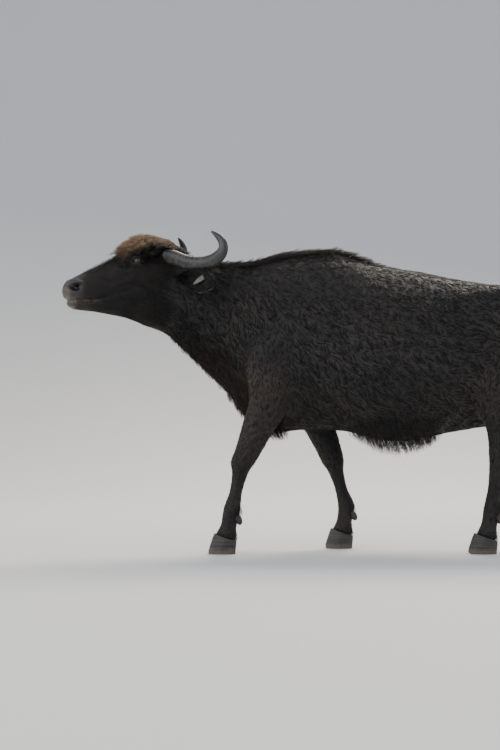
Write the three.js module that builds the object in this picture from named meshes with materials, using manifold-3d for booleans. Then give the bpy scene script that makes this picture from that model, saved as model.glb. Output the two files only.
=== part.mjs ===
// A water buffalo cow at life size, walking slowly with all four feet on the ground.
// Millimetres, +Z up. The head points along -X and is turned a little to the animal's left, which is -Y.
// Nothing moves. The flesh is modelled as smooth tubes and is parted into head, neck, torso, legs and tail.

import * as THREE from "three";
import { mergeVertices } from "three/addons/utils/BufferGeometryUtils.js";
import Module from "manifold-3d";

const wasm = await Module();
wasm.setup();

// Driving sizes

const GAP = 0.3; // between pieces that touch
const MIDDLE = new THREE.Vector2(-15, 0); // moves the finished animal to centre its box on the origin
const NECK_START = 330; // ahead of the middle of the back, where the neck begins to bend
const NECK_RADIUS = 1142;
const HEAD_TURN = THREE.MathUtils.degToRad(20);
const POLL = NECK_START + NECK_RADIUS * HEAD_TURN; // reach of the top of the head

const EYE = { ahead: 188, aside: 90, height: 1293, radius: 20 };
const NOSTRIL = { ahead: 464, aside: 50, height: 1177 };
const HORN = { ahead: 42, aside: 86, height: 1315, length: 397, buried: 38, sweep: 45, tall: 33, flat: 0.78 };
const HORN_RIDGES = 7;
const EAR = { ahead: -4, aside: 92, height: 1225, length: 228, width: 60, thick: 6, spread: 64, droop: 9 };
const TAG = { along: 0.66, across: 0.22, width: 28, length: 60, thick: 2, stem: 3, button: 9, standoff: 7 };
const HIP = { at: -664, aside: 150, height: 1131 };
const PIN = { at: -1092, aside: 78, height: 1030 };
const UDDER = { at: -806, height: 596 };

const TRUNK_SIDES = 24;
const HEAD_SIDES = 22;
const JAW_SIDES = 16;
const LEG_SIDES = 12;

// Locks of hair: length, width and thickness at the root, and how far the root is sunk in the flesh.
const MOP_LOCK = { run: 92, width: 46, thick: 14, sunk: 0.4, along: 52, around: 29 };
const CREST_LOCK = { run: 116, width: 48, thick: 11, sunk: 1.3, along: 74 };
const FRINGE_LOCK = { width: 40, thick: 15, sunk: 20, along: 36 };
const THROAT_LOCK = { width: 30, thick: 10, sunk: 14, along: 50, length: 26 };
const SWITCH_LOCK = { width: 22, thick: 12, count: 9 };

// Tables of the body's outline. Each row is a station: how far it reaches ahead of the middle of the back,
// the height of its top and bottom, half its width, the height of its widest place, and how square its upper
// and lower halves are, where 2 is an ellipse and less is more pointed.

const TRUNK = [
  { at: -1172, top: 1030, bottom: 930, half: 40, wide: 985, roof: 2, floor: 2 },
  { at: -1160, top: 1058, bottom: 890, half: 82, wide: 985, roof: 2.1, floor: 2 },
  { at: -1130, top: 1082, bottom: 840, half: 126, wide: 990, roof: 2.3, floor: 1.9 },
  { at: -1060, top: 1117, bottom: 765, half: 180, wide: 1000, roof: 2.4, floor: 1.7 },
  { at: -960, top: 1147, bottom: 680, half: 230, wide: 1012, roof: 2.5, floor: 1.7 },
  { at: -850, top: 1170, bottom: 606, half: 258, wide: 1016, roof: 2.5, floor: 1.8 },
  { at: -700, top: 1199, bottom: 558, half: 280, wide: 990, roof: 2.5, floor: 2 },
  { at: -600, top: 1215, bottom: 542, half: 304, wide: 900, roof: 2.1, floor: 2 },
  { at: -500, top: 1233, bottom: 524, half: 334, wide: 835, roof: 1.85, floor: 2 },
  { at: -400, top: 1254, bottom: 501, half: 352, wide: 808, roof: 1.8, floor: 2 },
  { at: -290, top: 1271, bottom: 490, half: 359, wide: 800, roof: 1.8, floor: 2 },
  { at: -180, top: 1289, bottom: 504, half: 352, wide: 815, roof: 1.8, floor: 2 },
  { at: -100, top: 1316, bottom: 526, half: 338, wide: 830, roof: 1.75, floor: 2 },
  { at: -30, top: 1340, bottom: 538, half: 320, wide: 845, roof: 1.68, floor: 2 },
  { at: 60, top: 1348, bottom: 542, half: 292, wide: 865, roof: 1.62, floor: 1.9 },
  { at: 150, top: 1343, bottom: 540, half: 262, wide: 885, roof: 1.62, floor: 1.8 },
  { at: 240, top: 1332, bottom: 530, half: 235, wide: 905, roof: 1.68, floor: 1.7 },
  { at: 300, top: 1316, bottom: 534, half: 213, wide: 935, roof: 1.75, floor: 1.65 },
  { at: 350, top: 1299, bottom: 556, half: 193, wide: 960, roof: 1.8, floor: 1.6 },
  { at: 417, top: 1292, bottom: 632, half: 165, wide: 1005, roof: 1.85, floor: 1.6 },
  { at: 484, top: 1292, bottom: 722, half: 143, wide: 1055, roof: 1.9, floor: 1.6 },
  { at: 562, top: 1296, bottom: 796, half: 126, wide: 1090, roof: 1.95, floor: 1.6 },
  { at: 626, top: 1304, bottom: 856, half: 117, wide: 1120, roof: 2, floor: 1.6 },
  { at: 690, top: 1324, bottom: 915, half: 110, wide: 1150, roof: 2, floor: 1.6 },
  { at: 745, top: 1336, bottom: 962, half: 103, wide: 1160, roof: 2, floor: 1.6 },
  { at: 805, top: 1290, bottom: 990, half: 92, wide: 1140, roof: 2, floor: 1.7 },
  { at: 870, top: 1230, bottom: 1012, half: 72, wide: 1120, roof: 2, floor: 1.9 },
  { at: 930, top: 1180, bottom: 1040, half: 40, wide: 1105, roof: 2, floor: 2 },
];

// The skull with the upper lip, measured ahead from the poll.
const SKULL = [
  { at: -50, top: 1330, bottom: 1150, half: 66, wide: 1250, roof: 2, floor: 2 },
  { at: 0, top: 1362, bottom: 1112, half: 90, wide: 1258, roof: 2.1, floor: 2 },
  { at: 50, top: 1378, bottom: 1096, half: 101, wide: 1266, roof: 2.2, floor: 2 },
  { at: 100, top: 1380, bottom: 1090, half: 104, wide: 1276, roof: 2.3, floor: 2 },
  { at: 150, top: 1367, bottom: 1088, half: 105, wide: 1280, roof: 2.4, floor: 2 },
  { at: 188, top: 1349, bottom: 1090, half: 101, wide: 1272, roof: 2.5, floor: 2 },
  { at: 236, top: 1320, bottom: 1098, half: 86, wide: 1242, roof: 2.5, floor: 2 },
  { at: 288, top: 1296, bottom: 1104, half: 75, wide: 1210, roof: 2.4, floor: 2.2 },
  { at: 334, top: 1275, bottom: 1107, half: 69, wide: 1188, roof: 2.3, floor: 2.5 },
  { at: 380, top: 1254, bottom: 1109, half: 70, wide: 1168, roof: 2.3, floor: 2.8 },
  { at: 420, top: 1237, bottom: 1111, half: 75, wide: 1158, roof: 2.4, floor: 3 },
  { at: 452, top: 1221, bottom: 1113, half: 77, wide: 1153, roof: 2.6, floor: 3 },
  { at: 476, top: 1206, bottom: 1117, half: 68, wide: 1151, roof: 2.6, floor: 2.8 },
  { at: 488, top: 1193, bottom: 1123, half: 54, wide: 1150, roof: 2.4, floor: 2.5 },
  { at: 495, top: 1180, bottom: 1131, half: 36, wide: 1150, roof: 2.2, floor: 2.2 },
  { at: 498, top: 1165, bottom: 1140, half: 17, wide: 1150, roof: 2, floor: 2 },
];

// The lower jaw from behind the cheek to the chin, measured ahead from the poll.
const JAW = [
  { at: -16, top: 1180, bottom: 1060, half: 56, wide: 1115, roof: 2, floor: 2 },
  { at: 14, top: 1220, bottom: 1016, half: 84, wide: 1120, roof: 2, floor: 2 },
  { at: 56, top: 1215, bottom: 1003, half: 93, wide: 1122, roof: 2, floor: 1.9 },
  { at: 110, top: 1214, bottom: 1009, half: 95, wide: 1126, roof: 2.2, floor: 1.8 },
  { at: 160, top: 1200, bottom: 1023, half: 92, wide: 1124, roof: 2.4, floor: 1.7 },
  { at: 220, top: 1172, bottom: 1042, half: 80, wide: 1118, roof: 2.6, floor: 1.7 },
  { at: 290, top: 1136, bottom: 1055, half: 67, wide: 1104, roof: 2.8, floor: 1.8 },
  { at: 360, top: 1125, bottom: 1067, half: 58, wide: 1101, roof: 3, floor: 2 },
  { at: 420, top: 1122, bottom: 1073, half: 60, wide: 1104, roof: 3, floor: 2.1 },
  { at: 452, top: 1121, bottom: 1077, half: 56, wide: 1105, roof: 2.8, floor: 2.1 },
  { at: 470, top: 1119, bottom: 1084, half: 42, wide: 1106, roof: 2.4, floor: 2 },
  { at: 480, top: 1114, bottom: 1092, half: 24, wide: 1106, roof: 2, floor: 2 },
];

// The mop of hair over the poll and forehead, measured ahead from the poll. Its top is the tips of the hair.
const MOP = [
  { at: -46, top: 1346, bottom: 1300, half: 46, wide: 1318, roof: 2, floor: 2 },
  { at: -20, top: 1366, bottom: 1290, half: 74, wide: 1318, roof: 2, floor: 2 },
  { at: 10, top: 1391, bottom: 1286, half: 92, wide: 1318, roof: 2, floor: 2 },
  { at: 54, top: 1406, bottom: 1286, half: 100, wide: 1320, roof: 2, floor: 2 },
  { at: 101, top: 1416, bottom: 1286, half: 103, wide: 1320, roof: 2, floor: 2 },
  { at: 148, top: 1406, bottom: 1286, half: 96, wide: 1318, roof: 2, floor: 2 },
  { at: 195, top: 1379, bottom: 1284, half: 76, wide: 1310, roof: 2, floor: 2 },
  { at: 228, top: 1354, bottom: 1284, half: 52, wide: 1302, roof: 2, floor: 2 },
  { at: 248, top: 1332, bottom: 1290, half: 24, wide: 1304, roof: 2, floor: 2 },
];

// Long hair along the middle of the back and of the belly: how far the tips stand off the skin.
const CREST = [
  { at: -170, stand: 6 },
  { at: -140, stand: 13 },
  { at: 0, stand: 12 },
  { at: 180, stand: 11 },
  { at: 330, stand: 8 },
  { at: 372, stand: 5 },
];
const FRINGE = [
  { at: -420, stand: 24 },
  { at: -380, stand: 44 },
  { at: -300, stand: 52 },
  { at: -190, stand: 54 },
  { at: -120, stand: 44 },
  { at: -80, stand: 26 },
];

// Sizes round each leg, from the inside of the body down: how far it stands in front of and behind its middle
// line, and half its width. "share" is the place between the two named joints.
const FORELEG = [
  { from: "blade", to: "blade", share: 0, front: 40, back: 60, half: 22 },
  { from: "blade", to: "arm", share: 0.5, front: 96, back: 120, half: 48 },
  { from: "arm", to: "arm", share: 0, front: 116, back: 140, half: 66 },
  { from: "arm", to: "elbow", share: 0.55, front: 98, back: 122, half: 68 },
  { from: "elbow", to: "elbow", share: 0, front: 86, back: 102, half: 66 },
  { from: "elbow", to: "knee", share: 0.42, front: 69, back: 77, half: 58 },
  { from: "elbow", to: "knee", share: 0.84, front: 55, back: 63, half: 49 },
  { from: "knee", to: "knee", share: 0, front: 53, back: 55, half: 49 },
  { from: "knee", to: "fetlock", share: 0.24, front: 36, back: 39, half: 36 },
  { from: "knee", to: "fetlock", share: 0.6, front: 29, back: 33, half: 29 },
  { from: "fetlock", to: "fetlock", share: 0, front: 38, back: 42, half: 41 },
  { from: "fetlock", to: "hoof", share: 0.5, front: 35, back: 39, half: 41 },
  { from: "hoof", to: "hoof", share: 0, front: 50, back: 50, half: 54 },
];
const HINDLEG = [
  { from: "rump", to: "rump", share: 0, front: 60, back: 105, half: 36 },
  { from: "rump", to: "thigh", share: 0.5, front: 145, back: 205, half: 80 },
  { from: "thigh", to: "thigh", share: 0, front: 180, back: 246, half: 98 },
  { from: "thigh", to: "stifle", share: 0.6, front: 136, back: 262, half: 98 },
  { from: "stifle", to: "stifle", share: 0, front: 94, back: 238, half: 88 },
  { from: "stifle", to: "hock", share: 0.34, front: 68, back: 150, half: 68 },
  { from: "stifle", to: "hock", share: 0.8, front: 43, back: 68, half: 42 },
  { from: "hock", to: "hock", share: 0, front: 44, back: 58, half: 43 },
  { from: "hock", to: "fetlock", share: 0.2, front: 36, back: 40, half: 35 },
  { from: "hock", to: "fetlock", share: 0.6, front: 30, back: 34, half: 30 },
  { from: "fetlock", to: "fetlock", share: 0, front: 39, back: 43, half: 42 },
  { from: "fetlock", to: "hoof", share: 0.5, front: 36, back: 39, half: 41 },
  { from: "hoof", to: "hoof", share: 0, front: 50, back: 50, half: 54 },
];

// Where the middle line of each leg runs: x, distance from the middle plane, and height at each joint.
// "part" names the leg node's own upper end.
const LEGS = {
  foreleg_left: {
    side: -1,
    sizes: FORELEG,
    split: "knee",
    joints: {
      blade: [-85, 122, 1215],
      arm: [-280, 186, 885],
      elbow: [-296, 176, 660],
      knee: [-407, 160, 402],
      fetlock: [-455, 150, 192],
      hoof: [-478, 147, 72],
    },
  },
  foreleg_right: {
    side: 1,
    sizes: FORELEG,
    split: "knee",
    joints: {
      blade: [-75, 122, 1215],
      arm: [-205, 186, 885],
      elbow: [-100, 176, 655],
      knee: [6, 160, 398],
      fetlock: [66, 150, 190],
      hoof: [52, 147, 72],
    },
  },
  hindleg_left: {
    side: -1,
    sizes: HINDLEG,
    split: "hock",
    joints: {
      rump: [840, 130, 1120],
      thigh: [880, 160, 985],
      stifle: [690, 180, 742],
      hock: [724, 158, 452],
      fetlock: [698, 148, 196],
      hoof: [675, 146, 72],
    },
  },
  hindleg_right: {
    side: 1,
    sizes: HINDLEG,
    split: "hock",
    joints: {
      rump: [845, 130, 1120],
      thigh: [890, 160, 985],
      stifle: [790, 180, 715],
      hock: [955, 158, 444],
      fetlock: [1040, 148, 196],
      hoof: [1030, 146, 72],
    },
  },
};

// Curves through tables

// A smooth curve through the rows of a table, by cubic pieces whose slopes never overshoot.
function through(rows, column) {
  const x = rows.map((row) => row.at);
  const y = rows.map((row) => row[column]);
  const slopes = x.slice(1).map((_, i) => (y[i + 1] - y[i]) / (x[i + 1] - x[i]));
  const lean = y.map((_, i) => {
    if (i === 0) return slopes[0];
    if (i === y.length - 1) return slopes[i - 1];
    const [before, after] = [slopes[i - 1], slopes[i]];
    return before * after <= 0 ? 0 : (2 * before * after) / (before + after);
  });
  return (at) => {
    const place = THREE.MathUtils.clamp(at, x[0], x[x.length - 1]);
    let i = 0;
    while (i < x.length - 2 && place > x[i + 1]) i += 1;
    const step = x[i + 1] - x[i];
    const t = (place - x[i]) / step;
    const near = 1 - t;
    return (
      near * near * ((1 + 2 * t) * y[i] + t * step * lean[i]) +
      t * t * ((3 - 2 * t) * y[i + 1] - near * step * lean[i + 1])
    );
  };
}

// All columns of a table at once.
function outline(rows) {
  const columns = Object.keys(rows[0]).filter((column) => column !== "at");
  const curves = columns.map((column) => [column, through(rows, column)]);
  return (at) => Object.fromEntries(curves.map(([column, curve]) => [column, curve(at)]));
}

// A point of the body from its reach along the neck's line, its distance to the right, and its height.
function place(reach, aside, height) {
  const turn = THREE.MathUtils.clamp((reach - NECK_START) / NECK_RADIUS, 0, HEAD_TURN);
  const straight = Math.min(reach, NECK_START) + Math.max(0, reach - POLL) * Math.cos(turn);
  const x = -straight - NECK_RADIUS * Math.sin(turn);
  const y = -NECK_RADIUS * (1 - Math.cos(turn)) - Math.max(0, reach - POLL) * Math.sin(turn);
  return new THREE.Vector3(x - aside * Math.sin(turn), y + aside * Math.cos(turn), height);
}

// A direction in the head's own frame: ahead, to the right, up.
function headway(ahead, right, up) {
  const [c, s] = [Math.cos(HEAD_TURN), Math.sin(HEAD_TURN)];
  return new THREE.Vector3(-ahead * c - right * s, -ahead * s + right * c, up);
}

const onHead = (ahead, right, height) => place(POLL + ahead, right, height);

// Solids

// A closed three.js geometry as a solid.
function solid(geometry) {
  const bare = new THREE.BufferGeometry();
  bare.setAttribute("position", geometry.getAttribute("position"));
  bare.setIndex(geometry.index);
  const merged = mergeVertices(bare, 1e-3);
  return new wasm.Manifold(
    new wasm.Mesh({
      numProp: 3,
      vertProperties: new Float32Array(merged.attributes.position.array),
      triVerts: new Uint32Array(merged.index.array),
    }),
  );
}

const centre = (ring) => ring.reduce((sum, p) => sum.add(p), new THREE.Vector3()).divideScalar(ring.length);

// A tube through rings of points, all with the same count, closed by a fan at each end. The ends are moved
// outward by "grow", and the last fan can run out to a given tip.
function tube(rings, grow = 0, tip = null) {
  const sides = rings[0].length;
  const last = rings.length - 1;
  for (const [end, inner] of [[0, 1], [last, last - 1]]) {
    const out = centre(rings[end]).sub(centre(rings[inner])).setLength(grow);
    rings[end].forEach((point) => point.add(out));
  }
  const points = rings.flat();
  const faces = [];
  for (let r = 0; r + 1 < rings.length; r += 1) {
    for (let k = 0; k < sides; k += 1) {
      const next = (k + 1) % sides;
      const [a, b] = [r * sides + k, r * sides + next];
      const [c, d] = [a + sides, b + sides];
      faces.push(a, b, d, a, d, c);
    }
  }
  for (const [ring, turned] of [[0, true], [last, false]]) {
    const middle = points.length;
    points.push(tip && !turned ? tip : centre(rings[ring]));
    for (let k = 0; k < sides; k += 1) {
      const [a, b] = [ring * sides + k, ring * sides + ((k + 1) % sides)];
      faces.push(middle, ...(turned ? [b, a] : [a, b]));
    }
  }
  const made = solid(new THREE.BufferGeometry().setFromPoints(points).setIndex(faces));
  if (made.volume() > 0) return made;
  for (let i = 0; i < faces.length; i += 3) [faces[i], faces[i + 1]] = [faces[i + 1], faces[i]];
  return solid(new THREE.BufferGeometry().setFromPoints(points).setIndex(faces));
}

const join = (pieces) => wasm.Manifold.union(pieces);

// The largest closed surface of a solid, without scraps.
function whole(made) {
  return made.decompose().reduce((best, piece) => (piece.volume() > best.volume() ? piece : best));
}

// An ellipsoid with its three half sizes along the axes, turned about Y by a few degrees.
function bulge(middle, x, y, z, turn = 0, sides = 12) {
  const ball = new THREE.SphereGeometry(1, sides, Math.round(sides * 0.6)).scale(x, y, z);
  ball.rotateY(THREE.MathUtils.degToRad(turn)).translate(middle.x, middle.y, middle.z);
  return solid(ball);
}

// The half space ahead of a slanting plane across the neck, set back from the plane by a clearance.
function ahead(reachTop, heightTop, reachBottom, heightBottom, clearance) {
  const top = place(reachTop, 0, heightTop);
  const down = place(reachBottom, 0, heightBottom).sub(top).normalize();
  const side = place(reachTop, 1, 0).sub(place(reachTop, 0, 0));
  const forward = new THREE.Vector3().crossVectors(side, down).normalize();
  if (forward.x > 0) forward.negate();
  return halfSpace(top, forward, clearance);
}

// A large block that starts at a plane and runs the way the plane faces.
function halfSpace(point, way, clearance) {
  const size = 4000;
  const block = new THREE.BoxGeometry(size, size, size).translate(size / 2 + clearance, 0, 0);
  const turn = new THREE.Quaternion().setFromUnitVectors(new THREE.Vector3(1, 0, 0), way);
  return solid(block.applyQuaternion(turn).translate(point.x, point.y, point.z));
}

// Body of stations

// One ring of a station table: an oval whose upper and lower halves have their own height and squareness.
function ring(row, reach, sides, grow) {
  return Array.from({ length: sides }, (_, k) => {
    const angle = (2 * Math.PI * k) / sides;
    const [c, s] = [Math.cos(angle), Math.sin(angle)];
    const power = 2 / (s >= 0 ? row.roof : row.floor);
    const tall = (s >= 0 ? row.top - row.wide : row.wide - row.bottom) + grow;
    const aside = (row.half + grow) * Math.sign(c) * Math.abs(c) ** power;
    return place(reach, aside, row.wide + tall * Math.sign(s) * Math.abs(s) ** power);
  });
}

// A tube through a station table: a ring at every station, and more where stations lie further apart than
// "step".
function bodyTube(rows, offset, step, sides, grow = 0) {
  const sizes = outline(rows);
  const places = rows.slice(1).flatMap((row, i) => {
    const from = rows[i].at;
    const count = Math.ceil((row.at - from) / step);
    return Array.from({ length: count }, (_, k) => from + ((row.at - from) * k) / count);
  });
  places.push(rows[rows.length - 1].at);
  return tube(places.map((at) => ring(sizes(at), offset + at, sides, grow)), grow);
}

// Legs

// The middle line of a leg with its sizes, as a list of sections.
function legSections({ side, sizes, joints }, steps) {
  const spot = (name) => new THREE.Vector3(joints[name][0], side * joints[name][1], joints[name][2]);
  const middle = sizes.map(({ from, to, share }) => spot(from).lerp(spot(to), share));
  const line = new THREE.CatmullRomCurve3(middle, false, "centripetal");
  const rows = sizes.map((row, i) => ({ at: i, front: row.front, back: row.back, half: row.half }));
  const size = outline(rows);
  const last = sizes.length - 1;
  return Array.from({ length: steps + 1 }, (_, i) => {
    const at = (last * i) / steps;
    return { at, middle: line.getPoint(at / last), way: line.getTangent(at / last), ...size(at) };
  });
}

// The slope of the top of the hooves: higher in front than behind.
const CORONET = THREE.MathUtils.degToRad(18);

// One ring round a leg. It leans half way between level and square to the leg, and at the foot it lies along
// the top of the hooves.
function legRing(section, footShare, grow) {
  const lean = section.way.clone().add(new THREE.Vector3(0, 0, -1.2)).normalize();
  const foot = new THREE.Vector3(-Math.sin(CORONET), 0, -Math.cos(CORONET));
  const down = lean.lerp(foot, footShare).normalize();
  const side = new THREE.Vector3(0, 1, 0);
  const front = new THREE.Vector3().crossVectors(down, side).normalize();
  if (front.x > 0) front.negate();
  return Array.from({ length: LEG_SIDES }, (_, k) => {
    const angle = (2 * Math.PI * k) / LEG_SIDES;
    const reach = Math.sin(angle) > 0 ? section.front + grow : section.back + grow;
    return section.middle
      .clone()
      .addScaledVector(front, reach * Math.sin(angle))
      .addScaledVector(side, (section.half + grow) * Math.cos(angle));
  });
}

function legTube(leg, grow = 0) {
  const sections = legSections(leg, 17);
  const last = leg.sizes.length - 1;
  const rings = sections.map((s) => legRing(s, THREE.MathUtils.smoothstep(s.at, last - 1.5, last), grow));
  return tube(rings, grow);
}

// Hooves

const CLAW = { toe: 66, heel: 54, half: 27, apart: 30, bevel: 4 };

// One of the two claws of a foot. The sole is flat, the wall leans back, and the top follows the coronet.
function claw(leg, inner) {
  const [x, aside] = leg.joints.hoof;
  const y = leg.side * aside + inner * CLAW.apart;
  const sides = 12;
  const rows = [
    { up: 0, grow: 0.93, back: 0 },
    { up: CLAW.bevel / 100, grow: 1, back: 0 },
    { up: 0.5, grow: 0.93, back: 6 },
    { up: 1, grow: 0.82, back: 14 },
  ];
  const topHeight = (px) => 72 - GAP + (x - px) * Math.tan(CORONET);
  const rings = rows.map(({ up, grow, back }) =>
    Array.from({ length: sides }, (_, k) => {
      const angle = (2 * Math.PI * k) / sides;
      const along = Math.cos(angle);
      const reach = along > 0 ? CLAW.toe : CLAW.heel;
      const narrow = 1 - 0.42 * Math.max(0, along) ** 2;
      const px = x - 12 - reach * along * grow + back;
      const py = y + CLAW.half * Math.sin(angle) * narrow * Math.min(1, grow + 0.06);
      return new THREE.Vector3(px, py, up * topHeight(px));
    }),
  );
  return tube(rings);
}

// One of the two small claws behind the pastern.
function dewclaw(leg, inner) {
  const joint = leg.joints.fetlock;
  const hoof = leg.joints.hoof;
  const back = 40;
  const middle = new THREE.Vector3(
    THREE.MathUtils.lerp(joint[0], hoof[0], 0.35) + back,
    leg.side * joint[1] + inner * 21,
    THREE.MathUtils.lerp(joint[2], hoof[2], 0.35),
  );
  const cone = new THREE.SphereGeometry(1, 6, 5).scale(15, 12, 24);
  cone.rotateY(THREE.MathUtils.degToRad(-28)).translate(middle.x, middle.y, middle.z);
  return solid(cone);
}

// Head parts

// How steeply a horn runs along its length, in degrees above the level.
const HORN_BEND = [
  { at: 0, rise: -5 },
  { at: 0.158, rise: -21 },
  { at: 0.317, rise: -9 },
  { at: 0.444, rise: 2 },
  { at: 0.56, rise: 18 },
  { at: 0.676, rise: 40 },
  { at: 0.772, rise: 76 },
  { at: 0.857, rise: 119 },
  { at: 0.94, rise: 140 },
  { at: 1, rise: 146 },
];
const HORN_SIZE = [
  { at: 0, tall: 1 },
  { at: 0.45, tall: 0.93 },
  { at: 0.65, tall: 0.82 },
  { at: 0.77, tall: 0.64 },
  { at: 0.9, tall: 0.42 },
  { at: 1, tall: 0.14 },
];

// A horn: a flattened tapering tube, swept back and out and then curling up and forward, with low rings.
function horn(side, grow = 0) {
  const sweep = THREE.MathUtils.degToRad(HORN.sweep);
  const out = headway(-Math.cos(sweep), side * Math.sin(sweep), 0);
  const across = headway(Math.sin(sweep), side * Math.cos(sweep), 0);
  const rise = through(HORN_BEND, "rise");
  const tall = through(HORN_SIZE, "tall");
  const steps = 18;
  const sides = 9;
  const full = HORN.length + HORN.buried;
  const middle = onHead(HORN.ahead, side * HORN.aside, HORN.height);
  const first = THREE.MathUtils.degToRad(rise(0));
  middle.addScaledVector(out, -HORN.buried * Math.cos(first));
  middle.setZ(HORN.height - HORN.buried * Math.sin(first));
  const rings = [];
  for (let i = 0; i <= steps; i += 1) {
    const t = Math.max(0, (full * i) / steps - HORN.buried) / HORN.length;
    const angle = THREE.MathUtils.degToRad(rise(t));
    const way = out.clone().multiplyScalar(Math.cos(angle)).add(new THREE.Vector3(0, 0, Math.sin(angle)));
    const up = new THREE.Vector3().crossVectors(across, way).normalize();
    if (i > 0) middle.addScaledVector(way, full / steps);
    const fade = 1 - THREE.MathUtils.smoothstep(t, 0.45, 0.65);
    const size = HORN.tall * tall(t) * (1 + 0.035 * fade * Math.cos(2 * Math.PI * HORN_RIDGES * t));
    rings.push(
      Array.from({ length: sides }, (_, k) => {
        const a = (2 * Math.PI * k) / sides;
        return middle
          .clone()
          .addScaledVector(up, (size + grow) * Math.sin(a))
          .addScaledVector(across, (size * HORN.flat + grow) * Math.cos(a));
      }),
    );
  }
  return tube(rings, grow);
}

// Half the flat width of the ear along its length, and how far its edges curl round.
const EAR_SHAPE = [
  { at: 0, width: 0.5, curl: 168 },
  { at: 0.15, width: 0.6, curl: 150 },
  { at: 0.35, width: 0.9, curl: 105 },
  { at: 0.6, width: 1, curl: 72 },
  { at: 0.82, width: 0.72, curl: 58 },
  { at: 0.95, width: 0.34, curl: 48 },
  { at: 1, width: 0.1, curl: 42 },
];

// The ear's own directions: along it, the way its hollow faces, and across.
function earFrame(side) {
  const spread = THREE.MathUtils.degToRad(EAR.spread);
  const droop = THREE.MathUtils.degToRad(EAR.droop);
  const level = headway(-Math.cos(spread), side * Math.sin(spread), 0);
  const along = level.multiplyScalar(Math.cos(droop)).add(new THREE.Vector3(0, 0, -Math.sin(droop)));
  const facing = headway(Math.sin(spread), side * Math.cos(spread), -0.12);
  facing.addScaledVector(along, -facing.dot(along)).normalize();
  const across = new THREE.Vector3().crossVectors(along, facing).normalize();
  return { root: onHead(EAR.ahead, side * EAR.aside, EAR.height), along, facing, across };
}

// A point of the ear: t runs from root to tip, a from -1 to 1 across, deep is how far behind the inner face.
function earPoint({ root, along, facing, across }, t, a, deep) {
  const width = through(EAR_SHAPE, "width")(t) * EAR.width;
  const curl = THREE.MathUtils.degToRad(through(EAR_SHAPE, "curl")(t));
  const radius = width / curl;
  const angle = a * curl;
  const edge = 1 - 0.45 * a * a;
  const reach = radius + deep * edge;
  return root
    .clone()
    .addScaledVector(along, EAR.length * (t - 0.08))
    .addScaledVector(facing, radius * 0.55 - reach * Math.cos(angle))
    .addScaledVector(across, reach * Math.sin(angle));
}

// A cupped ear: a curled leaf with an inner and an outer face, nearly rolled into a tube at its root.
function ear(side) {
  const frame = earFrame(side);
  const rows = 8;
  const cells = 6;
  const rings = [];
  for (let i = 0; i <= rows; i += 1) {
    const t = i / rows;
    const spots = Array.from({ length: cells + 1 }, (_, k) => (2 * k) / cells - 1);
    const inner = spots.map((a) => earPoint(frame, t, a, 0));
    const outer = spots.map((a) => earPoint(frame, t, -a, EAR.thick));
    rings.push([...inner, ...outer]);
  }
  return tube(rings);
}

// A plain core that fills the rolled root of the ear.
function earCore(side) {
  const { root, along } = earFrame(side);
  const middle = root.clone().addScaledVector(along, -4);
  return bulge(middle, 26, 26, 26, 0, 8);
}

// The ear tag's own directions: its pin stands square on the inside of the ear and its panel hangs from it.
function tagFrame(side) {
  const frame = earFrame(side);
  const pin = earPoint(frame, TAG.along, TAG.across * side, 0);
  const low = earPoint(frame, TAG.along - 0.22, -0.8 * side, 0);
  const out = earPoint(frame, TAG.along, TAG.across * side, EAR.thick).sub(pin).negate().normalize();
  const hang = low.sub(pin).normalize();
  const across = new THREE.Vector3().crossVectors(hang, frame.facing).normalize();
  const facing = new THREE.Vector3().crossVectors(across, hang).normalize();
  return { pin, out, hang, across, facing };
}

// A round bar between two points, with a given radius.
function bar(from, to, radius) {
  const rod = new THREE.CylinderGeometry(radius, radius, from.distanceTo(to), 6);
  const turn = new THREE.Quaternion().setFromUnitVectors(
    new THREE.Vector3(0, 1, 0),
    to.clone().sub(from).normalize(),
  );
  return solid(rod.applyQuaternion(turn).translate(...from.clone().lerp(to, 0.5)));
}

// A blank plastic tag: a panel with round corners inside the ear, a pin through it and a button behind it.
function earTag(side, grow) {
  const { pin, out, hang, across, facing } = tagFrame(side);
  const [wide, long, corner] = [TAG.width / 2 + grow, TAG.length + grow, 7];
  const shape = new THREE.Shape();
  shape.moveTo(-wide * 0.45, -10 - grow);
  shape.lineTo(wide * 0.45, -10 - grow);
  shape.lineTo(wide, 10);
  shape.lineTo(wide * 0.85, long - corner - 10);
  shape.lineTo(wide * 0.4, long - 10);
  shape.lineTo(-wide * 0.4, long - 10);
  shape.lineTo(-wide * 0.85, long - corner - 10);
  shape.lineTo(-wide, 10);
  const depth = TAG.thick + 2 * grow;
  const panel = new THREE.ExtrudeGeometry(shape, { depth, bevelEnabled: false });
  panel.translate(0, 0, -depth / 2);
  const place = new THREE.Matrix4().makeBasis(across, hang, new THREE.Vector3().crossVectors(across, hang));
  const middle = pin.clone().addScaledVector(out, TAG.standoff);
  panel.applyMatrix4(place.setPosition(middle));
  const behind = (deep) => pin.clone().addScaledVector(out, -deep);
  const before = (deep) => middle.clone().addScaledVector(facing, deep);
  const back = EAR.thick + GAP - grow;
  return join([
    solid(panel),
    bar(before(-1.5), before(3 + grow), TAG.button - 2),
    bar(behind(back + 2), middle, TAG.stem + grow),
    bar(behind(back), behind(back + 2.5 + 2 * grow), TAG.button + grow),
  ]);
}

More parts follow.
